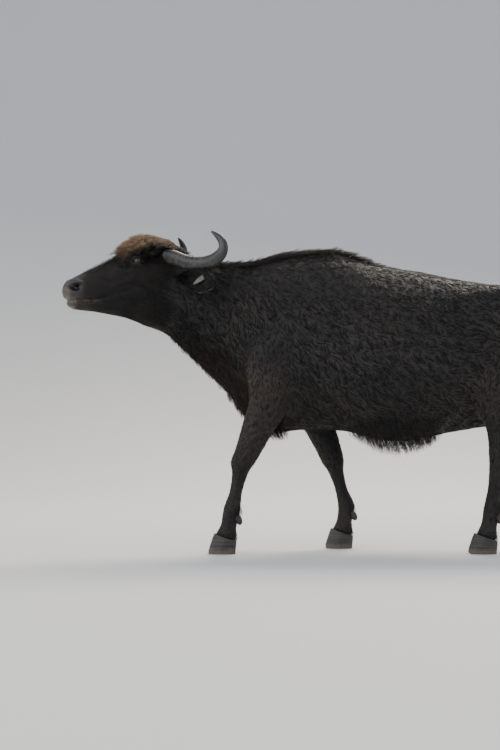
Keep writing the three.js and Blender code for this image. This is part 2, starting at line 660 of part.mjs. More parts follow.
// The almond opening between the lids, cut through the lid bulge from outside.
function lidOpening(side) {
  const out = headway(0.36, side, 0.05).normalize();
  const long = headway(1, -0.36 * side, -0.3).normalize();
  const tall = new THREE.Vector3().crossVectors(out, long).normalize();
  const sides = 16;
  const middle = onHead(EYE.ahead, side * EYE.aside, EYE.height);
  const rings = [6, 60].map((reach) =>
    Array.from({ length: sides }, (_, k) => {
      const angle = (2 * Math.PI * k) / sides;
      const rise = 10.5 * Math.sin(angle) * (1 - 0.35 * Math.cos(angle) ** 2);
      return middle
        .clone()
        .addScaledVector(out, reach)
        .addScaledVector(long, 18 * Math.cos(angle))
        .addScaledVector(tall, rise);
    }),
  );
  return tube(rings);
}

// The nostril: a slanting comma-shaped hollow.
function nostril(side) {
  const round = onHead(NOSTRIL.ahead + 4, side * NOSTRIL.aside, NOSTRIL.height - 4);
  const slit = onHead(NOSTRIL.ahead - 14, side * (NOSTRIL.aside + 12), NOSTRIL.height + 4);
  return join([bulge(round, 22, 16, 18, 0, 10), bulge(slit, 23, 14, 10, 18, 8)]);
}

// Assembly

const eyeball = (side, grow) => {
  const middle = onHead(EYE.ahead, side * EYE.aside, EYE.height);
  return bulge(middle, EYE.radius + grow, EYE.radius + grow, EYE.radius + grow, 0, 10);
};

function fleshOfHead(grow) {
  const sides = [-1, 1];
  const brow = (side) =>
    bulge(onHead(EYE.ahead + 2, side * (EYE.aside - 15), EYE.height + 1), 50 + grow, 41 + grow, 40 + grow);
  const boss = (side) => {
    const middle = onHead(HORN.ahead + 4, side * (HORN.aside - 24), HORN.height - 4);
    return bulge(middle, 48 + grow, 42 + grow, 42 + grow, 0, 10);
  };
  const earRoot = (side) => {
    const { root, along } = earFrame(side);
    root.addScaledVector(along, -20);
    return bulge(root, 40 + grow, 36 + grow, 38 + grow, 0, 10);
  };
  return join([
    bodyTube(SKULL, POLL, 34, HEAD_SIDES, grow),
    bodyTube(JAW, POLL, 52, JAW_SIDES, grow),
    ...sides.map(brow),
    ...sides.map(boss),
    ...sides.map(earRoot),
  ]);
}

// Hair

// A seeded source of draws between -1 and 1.
function draws(seed) {
  let state = seed;
  return () => {
    state = (Math.imul(state, 1664525) + 1013904223) >>> 0;
    return state / 2147483648 - 1;
  };
}

// A flat tapering lock of hair: for t from 0 to 1, "path" gives its middle line and "off" the way off the skin.
function lock(path, off, width, thick) {
  const stops = [0, 0.38, 0.74];
  const size = [0.85, 1, 0.62];
  const rings = stops.map((t, i) => {
    const way = path(Math.min(1, t + 0.02)).sub(path(t - 0.02)).normalize();
    const side = new THREE.Vector3().crossVectors(way, off(t)).normalize();
    const out = new THREE.Vector3().crossVectors(side, way).normalize();
    const [across, up] = [width * 0.5 * size[i], thick * 0.5 * size[i]];
    return [[1, 0], [0, 1], [-1, 0], [0, -1]].map(([x, y]) =>
      path(t).addScaledVector(side, x * across).addScaledVector(out, y * up),
    );
  });
  return tube(rings, 0, path(1));
}

// A place on the oval of a station table, lifted from one table's surface towards another's.
function between(inner, outer, offset, at, angle, share) {
  const spot = (row) => {
    const [c, s] = [Math.cos(angle), Math.sin(angle)];
    const power = 2 / (s >= 0 ? row.roof : row.floor);
    const tall = s >= 0 ? row.top - row.wide : row.wide - row.bottom;
    const aside = row.half * Math.sign(c) * Math.abs(c) ** power;
    return place(offset + at, aside, row.wide + tall * Math.sign(s) * Math.abs(s) ** power);
  };
  return spot(inner(at)).lerp(spot(outer(at)), share);
}

// The mop of the forehead: rows of locks that run forward and out to the sides, and lie over one another.
const easing = (t, power) => Math.sin((Math.PI / 2) * Math.max(0, t)) ** power;

function mopLocks() {
  const draw = draws(11);
  const skull = outline(SKULL);
  const hair = outline(MOP);
  const locks = [];
  for (let ahead = -34; ahead < 180; ahead += MOP_LOCK.along) {
    const spread = 62 - Math.max(0, ahead - 90) * 0.26;
    const shift = (Math.round(ahead / MOP_LOCK.along) % 2) * MOP_LOCK.around * 0.5;
    for (let turn = -spread + shift; turn <= spread; turn += MOP_LOCK.around) {
      const angle = THREE.MathUtils.degToRad(90 + turn + 2 * draw());
      const sway = 0.16 * draw() - 0.0032 * turn;
      const run = MOP_LOCK.run * (1 + 0.18 * draw());
      const from = ahead + 5 * draw();
      const rise = 0.98 + 0.06 * draw();
      const path = (t) => {
        const share = THREE.MathUtils.lerp(-MOP_LOCK.sunk, rise, easing(t, 0.8));
        return between(skull, hair, POLL, Math.min(247, from + run * t), angle + sway * t, share);
      };
      const off = (t) => path(t).sub(onHead(from + run * t, 0, 1230)).normalize();
      locks.push(lock(path, off, MOP_LOCK.width * (1 + 0.15 * draw()), MOP_LOCK.thick));
    }
  }
  return locks;
}

// The crest along the neck and withers: locks that run backward and stand a little off the skin.
function crestLocks() {
  const draw = draws(23);
  const body = outline(TRUNK);
  const stand = outline(CREST);
  const locks = [];
  for (let at = 372; at > -96; at -= CREST_LOCK.along) {
    for (const lane of [-1, 1]) {
      const angle = THREE.MathUtils.degToRad(90 + 6 * lane + 2.5 * draw());
      const from = at + (lane > 0 ? 0.5 * CREST_LOCK.along : 0) + 5 * draw();
      const run = CREST_LOCK.run * (1 + 0.15 * draw());
      const sway = 0.04 * draw() + 0.035 * lane;
      const rise = 0.95 + 0.1 * draw();
      const path = (t) => {
        const reach = from - run * t;
        const share = THREE.MathUtils.lerp(-CREST_LOCK.sunk, rise, easing(t, 0.7));
        const skin = between(body, body, 0, reach, angle + sway * t, 0);
        return skin.setZ(skin.z + stand(reach).stand * share);
      };
      const off = () => new THREE.Vector3(0, 0.35 * lane, 1).normalize();
      locks.push(lock(path, off, CREST_LOCK.width * (1 + 0.12 * draw()), CREST_LOCK.thick));
    }
  }
  return locks;
}

// Locks that hang from the underside of the trunk: rows of the given number of lanes between two reaches.
function hangingLocks(from, to, step, lanes, size, length) {
  const draw = draws(37);
  const body = outline(TRUNK);
  const locks = [];
  for (let at = from; at > to; at -= step) {
    for (let lane = 0; lane < lanes; lane += 1) {
      const across = lanes > 1 ? (2 * lane) / (lanes - 1) - 1 : 0;
      const angle = THREE.MathUtils.degToRad(-90 + 9 * across + 2 * draw());
      const reach = at + 0.3 * step * draw() + (lane % 2) * 0.5 * step;
      const skin = between(body, body, 0, reach, angle, 0);
      const long = length(reach) * (1 + 0.16 * draw());
      const back = 0.16 + 0.12 * draw();
      const curl = 0.08 * draw();
      const path = (t) => {
        const down = THREE.MathUtils.lerp(-size.sunk, long, t);
        return skin.clone().add(new THREE.Vector3(back * down * t, curl * down * t, -down));
      };
      const off = () => new THREE.Vector3(Math.sin(3 * lane + at), 1, 0).normalize();
      locks.push(lock(path, off, size.width * (1 + 0.15 * draw()), size.thick));
    }
  }
  return locks;
}

const trunk = bodyTube(TRUNK, 0, 85, TRUNK_SIDES);
const trunkGrown = bodyTube(TRUNK, 0, 85, TRUNK_SIDES, GAP);
const NECK_SEAM = { top: 300, bottom: 405 };
const neckCut = [NECK_SEAM.top, 1330, NECK_SEAM.bottom, 600];
const headCut = [700, 1350, 738, 960];

const hipBone = (side, grow) =>
  bulge(place(HIP.at, side * HIP.aside, HIP.height), 152 + grow, 104 + grow, 60 + grow, -8);
const pinBone = (side, grow) =>
  bulge(place(PIN.at, side * PIN.aside, PIN.height), 80 + grow, 62 + grow, 58 + grow, 20);
const udder = (grow) => bulge(place(UDDER.at, 0, UDDER.height), 134 + grow, 86 + grow, 60 + grow);

// The plane that parts a leg from the torso, just below the elbow or stifle, square to the leg.
function legPlane(leg) {
  const section = legSections(leg, 12 * 4)[4 * 4];
  return { point: section.middle, way: section.way.clone().normalize() };
}

function splitPlane(leg) {
  const at = leg.sizes.findIndex((row) => row.from === leg.split && row.share > 0);
  const section = legSections(leg, 12 * 4)[at * 4];
  return { point: section.middle, way: section.way.clone().normalize() };
}

const legTubes = Object.fromEntries(Object.entries(LEGS).map(([name, leg]) => [name, legTube(leg)]));
const legsAbove = Object.entries(LEGS).map(([name, leg]) => {
  const { point, way } = legPlane(leg);
  return legTubes[name].subtract(halfSpace(point, way, 0));
});

const torsoFlesh = (grow) => [
  ...[-1, 1].flatMap((side) => [hipBone(side, grow), pinBone(side, grow)]),
  udder(grow),
];

const hornsGrown = join([horn(-1, GAP), horn(1, GAP)]);
const mop = join(mopLocks()).subtract(hornsGrown);
const headFlesh = join([fleshOfHead(0), trunk.intersect(ahead(...headCut, 0)), mop]);
const headGrown = join([fleshOfHead(GAP), trunkGrown.intersect(ahead(...headCut, -GAP))]);
const fringe = hangingLocks(-88, -416, FRINGE_LOCK.along, 2, FRINGE_LOCK, (at) => outline(FRINGE)(at).stand);
const throat = hangingLocks(706, 290, THROAT_LOCK.along, 1, THROAT_LOCK, () => THROAT_LOCK.length);
const neckHair = join([...throat, ...crestLocks()]);
const torsoSolid = join([
  trunk.subtract(ahead(...neckCut, 0)),
  ...legsAbove,
  ...torsoFlesh(0),
  ...fringe,
  neckHair.subtract(ahead(...neckCut, 0)),
]);

let head = headFlesh;
for (const side of [-1, 1]) {
  head = head.subtract(eyeball(side, GAP)).subtract(lidOpening(side)).subtract(nostril(side));
}
head = head.subtract(trunkGrown.subtract(ahead(...headCut, 0)).intersect(ahead(...neckCut, 0)));

const torsoGrown = join([
  trunkGrown.subtract(ahead(...neckCut, 0)),
  ...torsoFlesh(GAP),
  ...Object.values(LEGS).map((leg) => {
    const { point, way } = legPlane(leg);
    return legTube(leg, GAP).subtract(halfSpace(point, way, GAP));
  }),
]);

const neckFlesh = trunk
  .intersect(ahead(...neckCut, GAP))
  .subtract(ahead(...headCut, -GAP))
  .subtract(fleshOfHead(GAP));
const neck = join([neckFlesh, neckHair.intersect(ahead(...neckCut, GAP))]).subtract(torsoGrown);

// The tail hangs behind the rump: a thin tapering tube in two lengths, then the switch.
const TAIL_LINE = [
  [1000, 0, 1122],
  [1060, 2, 1122],
  [1130, 8, 1085],
  [1190, 18, 1000],
  [1212, 26, 880],
  [1208, 32, 700],
  [1196, 36, 560],
  [1190, 38, 400],
];
const TAIL_SIZE = [
  { at: 0, radius: 34 },
  { at: 0.2, radius: 27 },
  { at: 0.45, radius: 19 },
  { at: 0.75, radius: 12 },
  { at: 0.84, radius: 15 },
  { at: 0.93, radius: 13 },
  { at: 1, radius: 4 },
];

function tailTube() {
  const points = TAIL_LINE.map((p) => new THREE.Vector3(...p));
  const line = new THREE.CatmullRomCurve3(points, false, "centripetal");
  const radius = through(TAIL_SIZE, "radius");
  const steps = 18;
  const rings = Array.from({ length: steps + 1 }, (_, i) => {
    const t = i / steps;
    const middle = line.getPoint(t);
    const way = line.getTangent(t);
    const side = new THREE.Vector3(0, 1, 0);
    const front = new THREE.Vector3().crossVectors(way, side).normalize();
    return Array.from({ length: 8 }, (_, k) => {
      const angle = (2 * Math.PI * k) / 8;
      return middle
        .clone()
        .addScaledVector(front, radius(t) * Math.cos(angle))
        .addScaledVector(side, radius(t) * Math.sin(angle));
    });
  });
  return { made: tube(rings), line };
}

// The switch: locks that leave the tail all round and run down it, ending together in a brush.
function switchLocks(line) {
  const draw = draws(53);
  const locks = [];
  for (let k = 0; k < SWITCH_LOCK.count; k += 1) {
    const angle = k * 2.4;
    const from = 0.74 + 0.1 * ((k * 7) % 10) / 10;
    const reach = Math.min(1.02 - from, 0.24) * (0.94 + 0.06 * draw());
    const wide = 0.5 + 0.5 * Math.sqrt(((k * 3) % 8) / 8);
    const outward = new THREE.Vector3(Math.cos(angle), Math.sin(angle), 0);
    const path = (t) => {
      const u = from + reach * t;
      const beyond = 900 * Math.max(0, u - 1);
      const point = line.getPoint(Math.min(1, u)).addScaledVector(line.getTangent(1), beyond);
      const radius = 2 + 26 * wide * Math.sin(Math.PI * Math.min(1, Math.max(0, t) * 0.85));
      return point.addScaledVector(outward, radius);
    };
    locks.push(lock(path, () => outward.clone(), SWITCH_LOCK.width * (1 + 0.15 * draw()), SWITCH_LOCK.thick));
  }
  return locks;
}

const tail = tailTube();

function cutAcross(made, line, t) {
  const point = line.getPoint(t);
  const way = line.getTangent(t);
  return [made.subtract(halfSpace(point, way, -GAP / 2)), made.intersect(halfSpace(point, way, GAP / 2))];
}
const tailFree = tail.made.subtract(torsoGrown);
const [tailUpper, tailRest] = cutAcross(tailFree, tail.line, 0.42);
const [tailLower] = cutAcross(tailRest, tail.line, 0.74);
const [, tailSwitch] = cutAcross(join([tail.made, ...switchLocks(tail.line)]), tail.line, 0.74);

// The finished animal

const SKIN = { color: 0x17161a, roughness: 0.6, metalness: 0 };
const HAIR = { color: 0x241f1e, roughness: 0.8, metalness: 0 };
const HORNY = { color: 0x26282c, roughness: 0.45, metalness: 0 };
const PLASTIC = { color: 0xb4b4ae, roughness: 0.5, metalness: 0 };
const GLASSY = { color: 0x0a0706, roughness: 0.1, metalness: 0 };

const buffalo = new THREE.Group();

// Adds a solid as a named mesh.
function add(name, made, finish) {
  const mesh = whole(made).getMesh();
  const geometry = new THREE.BufferGeometry();
  geometry.setAttribute("position", new THREE.BufferAttribute(mesh.vertProperties, mesh.numProp));
  geometry.setIndex(new THREE.BufferAttribute(mesh.triVerts, 1));
  const piece = new THREE.Mesh(geometry, new THREE.MeshStandardMaterial(finish));
  piece.name = name;
  buffalo.add(piece);
}

add("head", head, SKIN);
add("neck", neck, SKIN);
add("torso", torsoSolid, SKIN);
add("tail_upper", tailUpper, SKIN);
add("tail_lower", tailLower, SKIN);
add("tail_switch", tailSwitch, HAIR);

for (const [label, side] of [["left", -1], ["right", 1]]) {
  add(`eye_${label}`, eyeball(side, 0), GLASSY);
  add(`horn_${label}`, horn(side).subtract(headGrown), HORNY);
  const cup = join([ear(side), earCore(side)]).subtract(headGrown).subtract(trunkGrown);
  add(`ear_${label}`, side < 0 ? cup.subtract(earTag(side, GAP)) : cup, SKIN);
}
add("ear_tag", earTag(-1, 0), PLASTIC);

for (const [name, leg] of Object.entries(LEGS)) {
  const { point, way } = legPlane(leg);
  const split = splitPlane(leg);
  const outside = legTubes[name]
    .intersect(halfSpace(point, way, GAP))
    .subtract(trunkGrown)
    .subtract(udder(GAP));
  add(`${name}_upper`, outside.subtract(halfSpace(split.point, split.way, -GAP / 2)), SKIN);
  const lower = outside.intersect(halfSpace(split.point, split.way, GAP / 2));
  add(`${name}_lower`, lower, SKIN);
  const grown = legTube(leg, GAP);
  for (const [label, inner] of [["inner", -leg.side], ["outer", leg.side]]) {
    add(`${name}_claw_${label}`, claw(leg, inner), HORNY);
    add(`${name}_dewclaw_${label}`, dewclaw(leg, inner).subtract(grown), HORNY);
  }
}

buffalo.position.set(MIDDLE.x, MIDDLE.y, 0);

export default buffalo;
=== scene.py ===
# %% [markdown]
# # A water buffalo, skin, hair and horn
# The imported model gives the animal's size and the place of every part. Here its flesh gets one skin without
# seams, and over the skin a coat of about 140,000 small tufts. Horns, hooves, eyes and the ear tag are made
# again with finer surfaces in the same places. The frame is loaded first. Nothing that is made later may
# outgrow it.

import math
from types import SimpleNamespace

import bpy
import numpy as np
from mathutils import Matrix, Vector, kdtree


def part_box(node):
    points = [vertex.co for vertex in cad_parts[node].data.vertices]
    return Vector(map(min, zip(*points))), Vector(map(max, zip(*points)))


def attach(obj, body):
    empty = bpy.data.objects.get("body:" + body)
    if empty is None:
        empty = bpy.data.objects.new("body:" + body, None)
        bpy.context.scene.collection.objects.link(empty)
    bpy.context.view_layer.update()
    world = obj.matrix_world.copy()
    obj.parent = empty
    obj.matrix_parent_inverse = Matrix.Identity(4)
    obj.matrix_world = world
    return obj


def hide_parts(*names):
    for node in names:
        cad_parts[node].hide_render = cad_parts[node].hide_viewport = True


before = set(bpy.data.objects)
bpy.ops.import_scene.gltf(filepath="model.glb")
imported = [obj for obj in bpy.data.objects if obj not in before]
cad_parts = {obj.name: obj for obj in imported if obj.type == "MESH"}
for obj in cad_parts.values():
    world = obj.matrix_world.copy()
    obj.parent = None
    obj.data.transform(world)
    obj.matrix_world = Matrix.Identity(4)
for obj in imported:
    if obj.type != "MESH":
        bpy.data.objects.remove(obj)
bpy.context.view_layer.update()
random = np.random.default_rng(4)

# %% [markdown]
# ## The camera
# The animal was seen from its left, level with the middle of its body, from about nine metres. A long lens
# at that distance keeps the two sides of the animal nearly the same size. The rear of the animal runs out
# of the picture on the right, and the camera keeps that framing.

# %% Camera
MM = 0.001
SHIFT = 15 * MM  # the model's middle stands this far ahead of the middle of its back
camera = bpy.data.objects.new("camera", bpy.data.cameras.new("camera"))
camera.data.lens = 96
camera.data.sensor_width = 36
camera.location = (-0.372 - SHIFT, -9.0, 0.79)
camera.rotation_euler = (math.radians(90), 0, 0)
bpy.context.collection.objects.link(camera)
bpy.context.scene.camera = camera
print("camera", tuple(camera.location))

# %% [markdown]
# ## Curves through tables
# Every large form is an oval tube whose size changes from station to station. The sizes stand in tables, in
# millimetres, and a smooth curve runs through each column. A cubic whose slope at each row is the harmonic
# mean of the slopes beside it never overshoots, so a belly doesn't get bumps between two rows.

# %% Smooth tables


def smooth_table(rows):
    """Curves through the columns of a table over its first column, for a whole array of places at once.

    Between two rows the value is (1-u)^2 ((1+2u) y0 + u s m0) + u^2 ((3-2u) y1 - (1-u) s m1), where u runs
    from 0 to 1, s is the distance between the rows and m the slopes.
    """
    rows = np.array(rows, float)
    x, y = rows[:, 0], rows[:, 1:]
    slope = np.diff(y, axis=0) / np.diff(x)[:, None]
    product, total = slope[:-1] * slope[1:], slope[:-1] + slope[1:]
    inner = np.where(product > 0, 2 * product / np.where(product > 0, total, 1), 0)
    lean = np.concatenate([slope[:1], inner, slope[-1:]])

    def at(place):
        place = np.clip(np.asarray(place, float), x[0], x[-1])
        i = np.clip(np.searchsorted(x, place, side="right") - 1, 0, len(x) - 2)
        step = (x[i + 1] - x[i])[..., None]
        u = (place - x[i])[..., None] / step
        near = 1 - u
        start = near**2 * ((1 + 2 * u) * y[i] + u * step * lean[i])
        return start + u**2 * ((3 - 2 * u) * y[i + 1] - near * step * lean[i + 1])

    return at


def ramp(low, high, value):
    """0 at low, 1 at high and beyond, and 3t^2 - 2t^3 between; low may be the larger."""
    t = np.clip((value - low) / (high - low), 0, 1)
    return t * t * (3 - 2 * t)


def band(value, start, full, less, end):
    """0 outside start and end, 1 from full to less."""
    return ramp(start, full, value) * ramp(end, less, value)


def bell(*ratios):
    """exp(-(a^2 + b^2 + ...)), a round hill that is 1 where every ratio is 0."""
    return np.exp(-sum(ratio**2 for ratio in ratios))


# %% [markdown]
# ## Tables of the body
# A station gives its reach ahead of the middle of the back, the height of its top and bottom, half its
# width, the height of its widest place, and how square its upper and lower halves are. They are the same
# numbers that the solid model has, so the skin lies where its flesh does.

# %% Body tables
TRUNK = [
    (-1172, 1030, 930, 40, 985, 2, 2), (-1160, 1058, 890, 82, 985, 2.1, 2),
    (-1130, 1082, 840, 126, 990, 2.3, 1.9), (-1060, 1117, 765, 180, 1000, 2.4, 1.7),
    (-960, 1147, 680, 230, 1012, 2.5, 1.7), (-850, 1170, 606, 258, 1016, 2.5, 1.8),
    (-700, 1199, 558, 280, 990, 2.5, 2), (-600, 1215, 542, 304, 900, 2.1, 2),
    (-500, 1233, 524, 334, 835, 1.85, 2), (-400, 1254, 501, 352, 808, 1.8, 2),
    (-290, 1271, 490, 359, 800, 1.8, 2), (-180, 1289, 504, 352, 815, 1.8, 2),
    (-100, 1316, 526, 338, 830, 1.75, 2), (-30, 1340, 538, 320, 845, 1.68, 2),
    (60, 1348, 542, 292, 865, 1.62, 1.9), (150, 1343, 540, 262, 885, 1.62, 1.8),
    (240, 1332, 530, 235, 905, 1.68, 1.7), (300, 1316, 534, 213, 935, 1.75, 1.65),
    (350, 1299, 556, 193, 960, 1.8, 1.6), (417, 1292, 632, 165, 1005, 1.85, 1.6),
    (484, 1292, 722, 143, 1055, 1.9, 1.6), (562, 1296, 796, 126, 1090, 1.95, 1.6),
    (626, 1304, 856, 117, 1120, 2, 1.6), (690, 1324, 915, 110, 1150, 2, 1.6),
    (745, 1336, 962, 103, 1160, 2, 1.6), (805, 1290, 990, 92, 1140, 2, 1.7),
    (870, 1230, 1012, 72, 1120, 2, 1.9), (930, 1180, 1040, 40, 1105, 2, 2),
]
SKULL = [
    (-50, 1330, 1150, 66, 1250, 2, 2), (0, 1362, 1112, 90, 1258, 2.1, 2),
    (50, 1378, 1096, 101, 1266, 2.2, 2), (100, 1380, 1090, 104, 1276, 2.3, 2),
    (150, 1367, 1088, 105, 1280, 2.4, 2), (188, 1349, 1090, 101, 1272, 2.5, 2),
    (236, 1320, 1098, 86, 1242, 2.5, 2), (288, 1296, 1104, 75, 1210, 2.4, 2.2),
    (334, 1275, 1107, 69, 1188, 2.3, 2.5), (380, 1254, 1109, 70, 1168, 2.3, 2.8),
    (420, 1237, 1111, 75, 1158, 2.4, 3), (452, 1221, 1113, 77, 1153, 2.6, 3),
    (476, 1206, 1117, 68, 1151, 2.6, 2.8), (488, 1193, 1123, 54, 1150, 2.4, 2.5),
    (495, 1180, 1131, 36, 1150, 2.2, 2.2), (498, 1165, 1140, 17, 1150, 2, 2),
]
JAW = [
    (-16, 1180, 1060, 56, 1115, 2, 2), (14, 1220, 1016, 84, 1120, 2, 2),
    (56, 1215, 1003, 93, 1122, 2, 1.9), (110, 1214, 1009, 95, 1126, 2.2, 1.8),
    (160, 1200, 1023, 92, 1124, 2.4, 1.7), (220, 1172, 1042, 80, 1118, 2.6, 1.7),
    (290, 1136, 1055, 67, 1104, 2.8, 1.8), (360, 1125, 1067, 58, 1101, 3, 2),
    (420, 1122, 1073, 60, 1104, 3, 2.1), (452, 1121, 1077, 56, 1105, 2.8, 2.1),
    (470, 1119, 1084, 42, 1106, 2.4, 2), (480, 1114, 1092, 24, 1106, 2, 2),
]
MOP = [
    (-46, 1346, 1300, 46, 1318, 2, 2), (-20, 1366, 1290, 74, 1318, 2, 2),
    (10, 1391, 1286, 92, 1318, 2, 2), (54, 1406, 1286, 100, 1320, 2, 2),
    (101, 1416, 1286, 103, 1320, 2, 2), (148, 1406, 1286, 96, 1318, 2, 2),
    (195, 1379, 1284, 76, 1310, 2, 2), (228, 1354, 1284, 52, 1302, 2, 2),
    (248, 1332, 1290, 24, 1304, 2, 2),
]
trunk_at, skull_at, jaw_at, mop_at = (smooth_table(rows) for rows in (TRUNK, SKULL, JAW, MOP))
print("half width of the trunk at the shoulder", trunk_at(60)[2])

# %% [markdown]
# ## The bent middle line
# The animal looks a little to its left. From the shoulder on, the middle line of the neck follows an arc,
# and the head carries on straight from its end. One function turns a reach, a distance to the side and a
# height into a place, so every table can stay straight.

# %% Places along the neck and on the head
NECK_START, NECK_RADIUS, HEAD_TURN = 330, 1142, math.radians(20)
POLL = NECK_START + NECK_RADIUS * HEAD_TURN
TURN_C, TURN_S = math.cos(HEAD_TURN), math.sin(HEAD_TURN)
EYE_AT, HORN_AT, EAR_AT = (188, 90, 1293), (42, 86, 1315), (-4, 92, 1225)
SIDES = {"left": -1, "right": 1}
ASIDE, UP = np.array([0.0, 1.0, 0.0]), np.array([0.0, 0.0, 1.0])


def in_frame(points):
    """Metres in the row frame, from millimetres about the middle of the back."""
    return points * MM - np.array([SHIFT, 0, 0])


def place(reach, aside, height):
    """Metres in the row frame: straight back of the neck, then round an arc, then straight along the head."""
    reach, aside, height = np.broadcast_arrays(*(np.asarray(v, float) for v in (reach, aside, height)))
    turn = np.clip((reach - NECK_START) / NECK_RADIUS, 0, HEAD_TURN)
    past = np.maximum(0, reach - POLL)
    x = -np.minimum(reach, NECK_START) - past * np.cos(turn) - NECK_RADIUS * np.sin(turn)
    y = -NECK_RADIUS * (1 - np.cos(turn)) - past * np.sin(turn)
    x, y = x - aside * np.sin(turn), y + aside * np.cos(turn)
    return in_frame(np.stack([x, y, height], -1))


def on_head(ahead, aside, height):
    """A place on the head, measured ahead from the poll."""
    return place(POLL + np.asarray(ahead, float), aside, height)


def at_side(spot, side, offset=(0, 0, 0)):
    """A mirrored place of the head, moved ahead, away from the middle and up by an offset."""
    ahead, aside, height = np.array(spot) + offset
    return on_head(ahead, side * aside, height)


def headway(ahead, aside, up):
    """A direction in the head's own frame."""
    parts = np.broadcast_arrays(-ahead * TURN_C - aside * TURN_S, -ahead * TURN_S + aside * TURN_C, up)
    return np.stack([np.asarray(v, float) for v in parts], -1)


def head_places(points):
    """Millimetres that points lie ahead of the poll, to the right of the middle and above the floor."""
    away = (points - place(POLL, 0, 0)) / MM
    ahead = -away[:, 0] * TURN_C - away[:, 1] * TURN_S
    aside = -away[:, 0] * TURN_S + away[:, 1] * TURN_C
    return ahead, aside, away[:, 2]


print("poll", place(POLL, 0, 1330).round(3), "nose", on_head(498, 0, 1150).round(3))

# %% [markdown]
# ## Small tools for surfaces
# A tube is a grid of points, ring after ring, that closes round each ring and ends in a fan at both ends.
# An oval ring comes from the cosine and sine raised to a power, which makes its upper and lower halves as
# square as the table says. The same tool serves the trunk, the legs, the horns and the tail.

# %% Grids and meshes


def unit(vectors):
    """Vectors at length one."""
    return vectors / np.maximum(np.linalg.norm(vectors, axis=-1, keepdims=True), 1e-12)


def circle(around):
    """Angles at even steps round a circle."""
    return 2 * np.pi * np.arange(around) / around


def grid_triangles(rings, around, closed=True):
    """Two triangles for each cell of a grid of rings, joined round the ring where it is closed."""
    cells = around if closed else around - 1
    i, k = np.meshgrid(np.arange(rings - 1) * around, np.arange(cells), indexing="ij")
    following = (k + 1) % around
    a, b, c, d = i + k, i + following, i + around + following, i + around + k
    return np.concatenate([np.stack([a, b, c], -1), np.stack([a, c, d], -1)], -1).reshape(-1, 3)


def tube(grid):
    """Points and triangles of a grid of rings, closed at both ends by a fan and facing outwards."""
    rings, around, _ = grid.shape
    points = np.concatenate([grid.reshape(-1, 3), grid[0].mean(0)[None], grid[-1].mean(0)[None]])
    k = np.arange(around)
    following = (k + 1) % around
    first = np.stack([np.full(around, rings * around), following, k], -1)
    start = (rings - 1) * around
    last = np.stack([np.full(around, rings * around + 1), start + k, start + following], -1)
    triangles = np.concatenate([grid_triangles(rings, around), first, last])
    corners = points[triangles]
    volume = np.einsum("ij,ij->i", corners[:, 0], np.cross(corners[:, 1], corners[:, 2])).sum()
    return points, triangles if volume > 0 else triangles[:, ::-1]


def joined(shells):
    """Several lots of points and triangles as one."""
    counts = np.cumsum([0] + [len(points) for points, _ in shells])
    triangles = [faces + start for (_, faces), start in zip(shells, counts)]
    return np.concatenate([points for points, _ in shells]), np.concatenate(triangles)


def mesh_object(name, points, triangles):
    """An object at the origin with the given triangles, shaded smooth."""
    mesh = bpy.data.meshes.new(name)
    mesh.vertices.add(len(points))
    mesh.vertices.foreach_set("co", np.ascontiguousarray(points, np.float32).ravel())
    mesh.loops.add(3 * len(triangles))
    mesh.loops.foreach_set("vertex_index", np.ascontiguousarray(triangles, np.int32).ravel())
    mesh.polygons.add(len(triangles))
    mesh.polygons.foreach_set("loop_start", np.arange(0, 3 * len(triangles), 3, dtype=np.int32))
    mesh.polygons.foreach_set("use_smooth", np.ones(len(triangles), bool))
    mesh.update(calc_edges=True)
    mesh.validate()
    made = bpy.data.objects.new(name, mesh)
    bpy.context.collection.objects.link(made)
    print(name, len(points), "points", len(triangles), "triangles")
    return made


def stand_for(piece, slot, *nodes):
    """Hides the nodes that a piece replaces and lets it ride on the one body. Its slot is not used."""
    if nodes:
        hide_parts(*nodes)
    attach(piece, "root")


def add_map(piece, name, corners):
    """A UV map with one place for each corner of each triangle."""
    layer = piece.data.uv_layers.new(name=name)
    layer.data.foreach_set("uv", np.ascontiguousarray(corners, np.float32).ravel())


def add_numbers(piece, name, values):
    """An attribute with one number, or one vector, for each point."""
    kind, field = ("FLOAT", "value") if values.ndim == 1 else ("FLOAT_VECTOR", "vector")
    piece.data.attributes.new(name, kind, "POINT").data.foreach_set(field, values.astype(np.float32).ravel())


# %% [markdown]
# ## The large forms
# Trunk with neck, skull, lower jaw, brows, horn bosses, hips, pin bones, udder, teats, legs and tail are
# made as closed tubes and balls that run deep into one another. They lie a few millimetres inside the
# solids, which leaves room for the coat.

# %% Trunk, skull and jaw
INSET = 4.0


def oval_rings(curve, reaches, offset, around, inset):
    """Rings of stations: aside = half cos^(2/n), up = tall sin^(2/n), with n the squareness of each half."""
    top, bottom, half, wide, roof, floor = (v[:, None] for v in curve(reaches).T)
    angle = circle(around)
    c, s = np.cos(angle), np.sin(angle)
    power = np.where(s >= 0, 2 / roof, 2 / floor)
    tall = np.where(s >= 0, top - wide, wide - bottom) - inset
    aside = (half - inset) * np.sign(c) * np.abs(c) ** power
    return place(offset + reaches[:, None], aside, wide + tall * np.sign(s) * np.abs(s) ** power)


def ball(middle, sizes, turn=0.0, rows=20, around=32):
    """An ellipsoid about a place, turned about the side axis by a few degrees."""
    down = np.pi * (np.arange(rows) + 0.5)[:, None] / rows
    round_ = circle(around)
    level = np.sin(down)
    grid = np.stack([level * np.cos(round_), level * np.sin(round_), np.cos(down) + 0 * round_], -1)
    grid = grid * np.array(sizes) * MM
    c, s = math.cos(math.radians(turn)), math.sin(math.radians(turn))
    spin = np.array([[c, 0, s], [0, 1, 0], [-s, 0, c]])
    return tube(grid @ spin.T + middle)


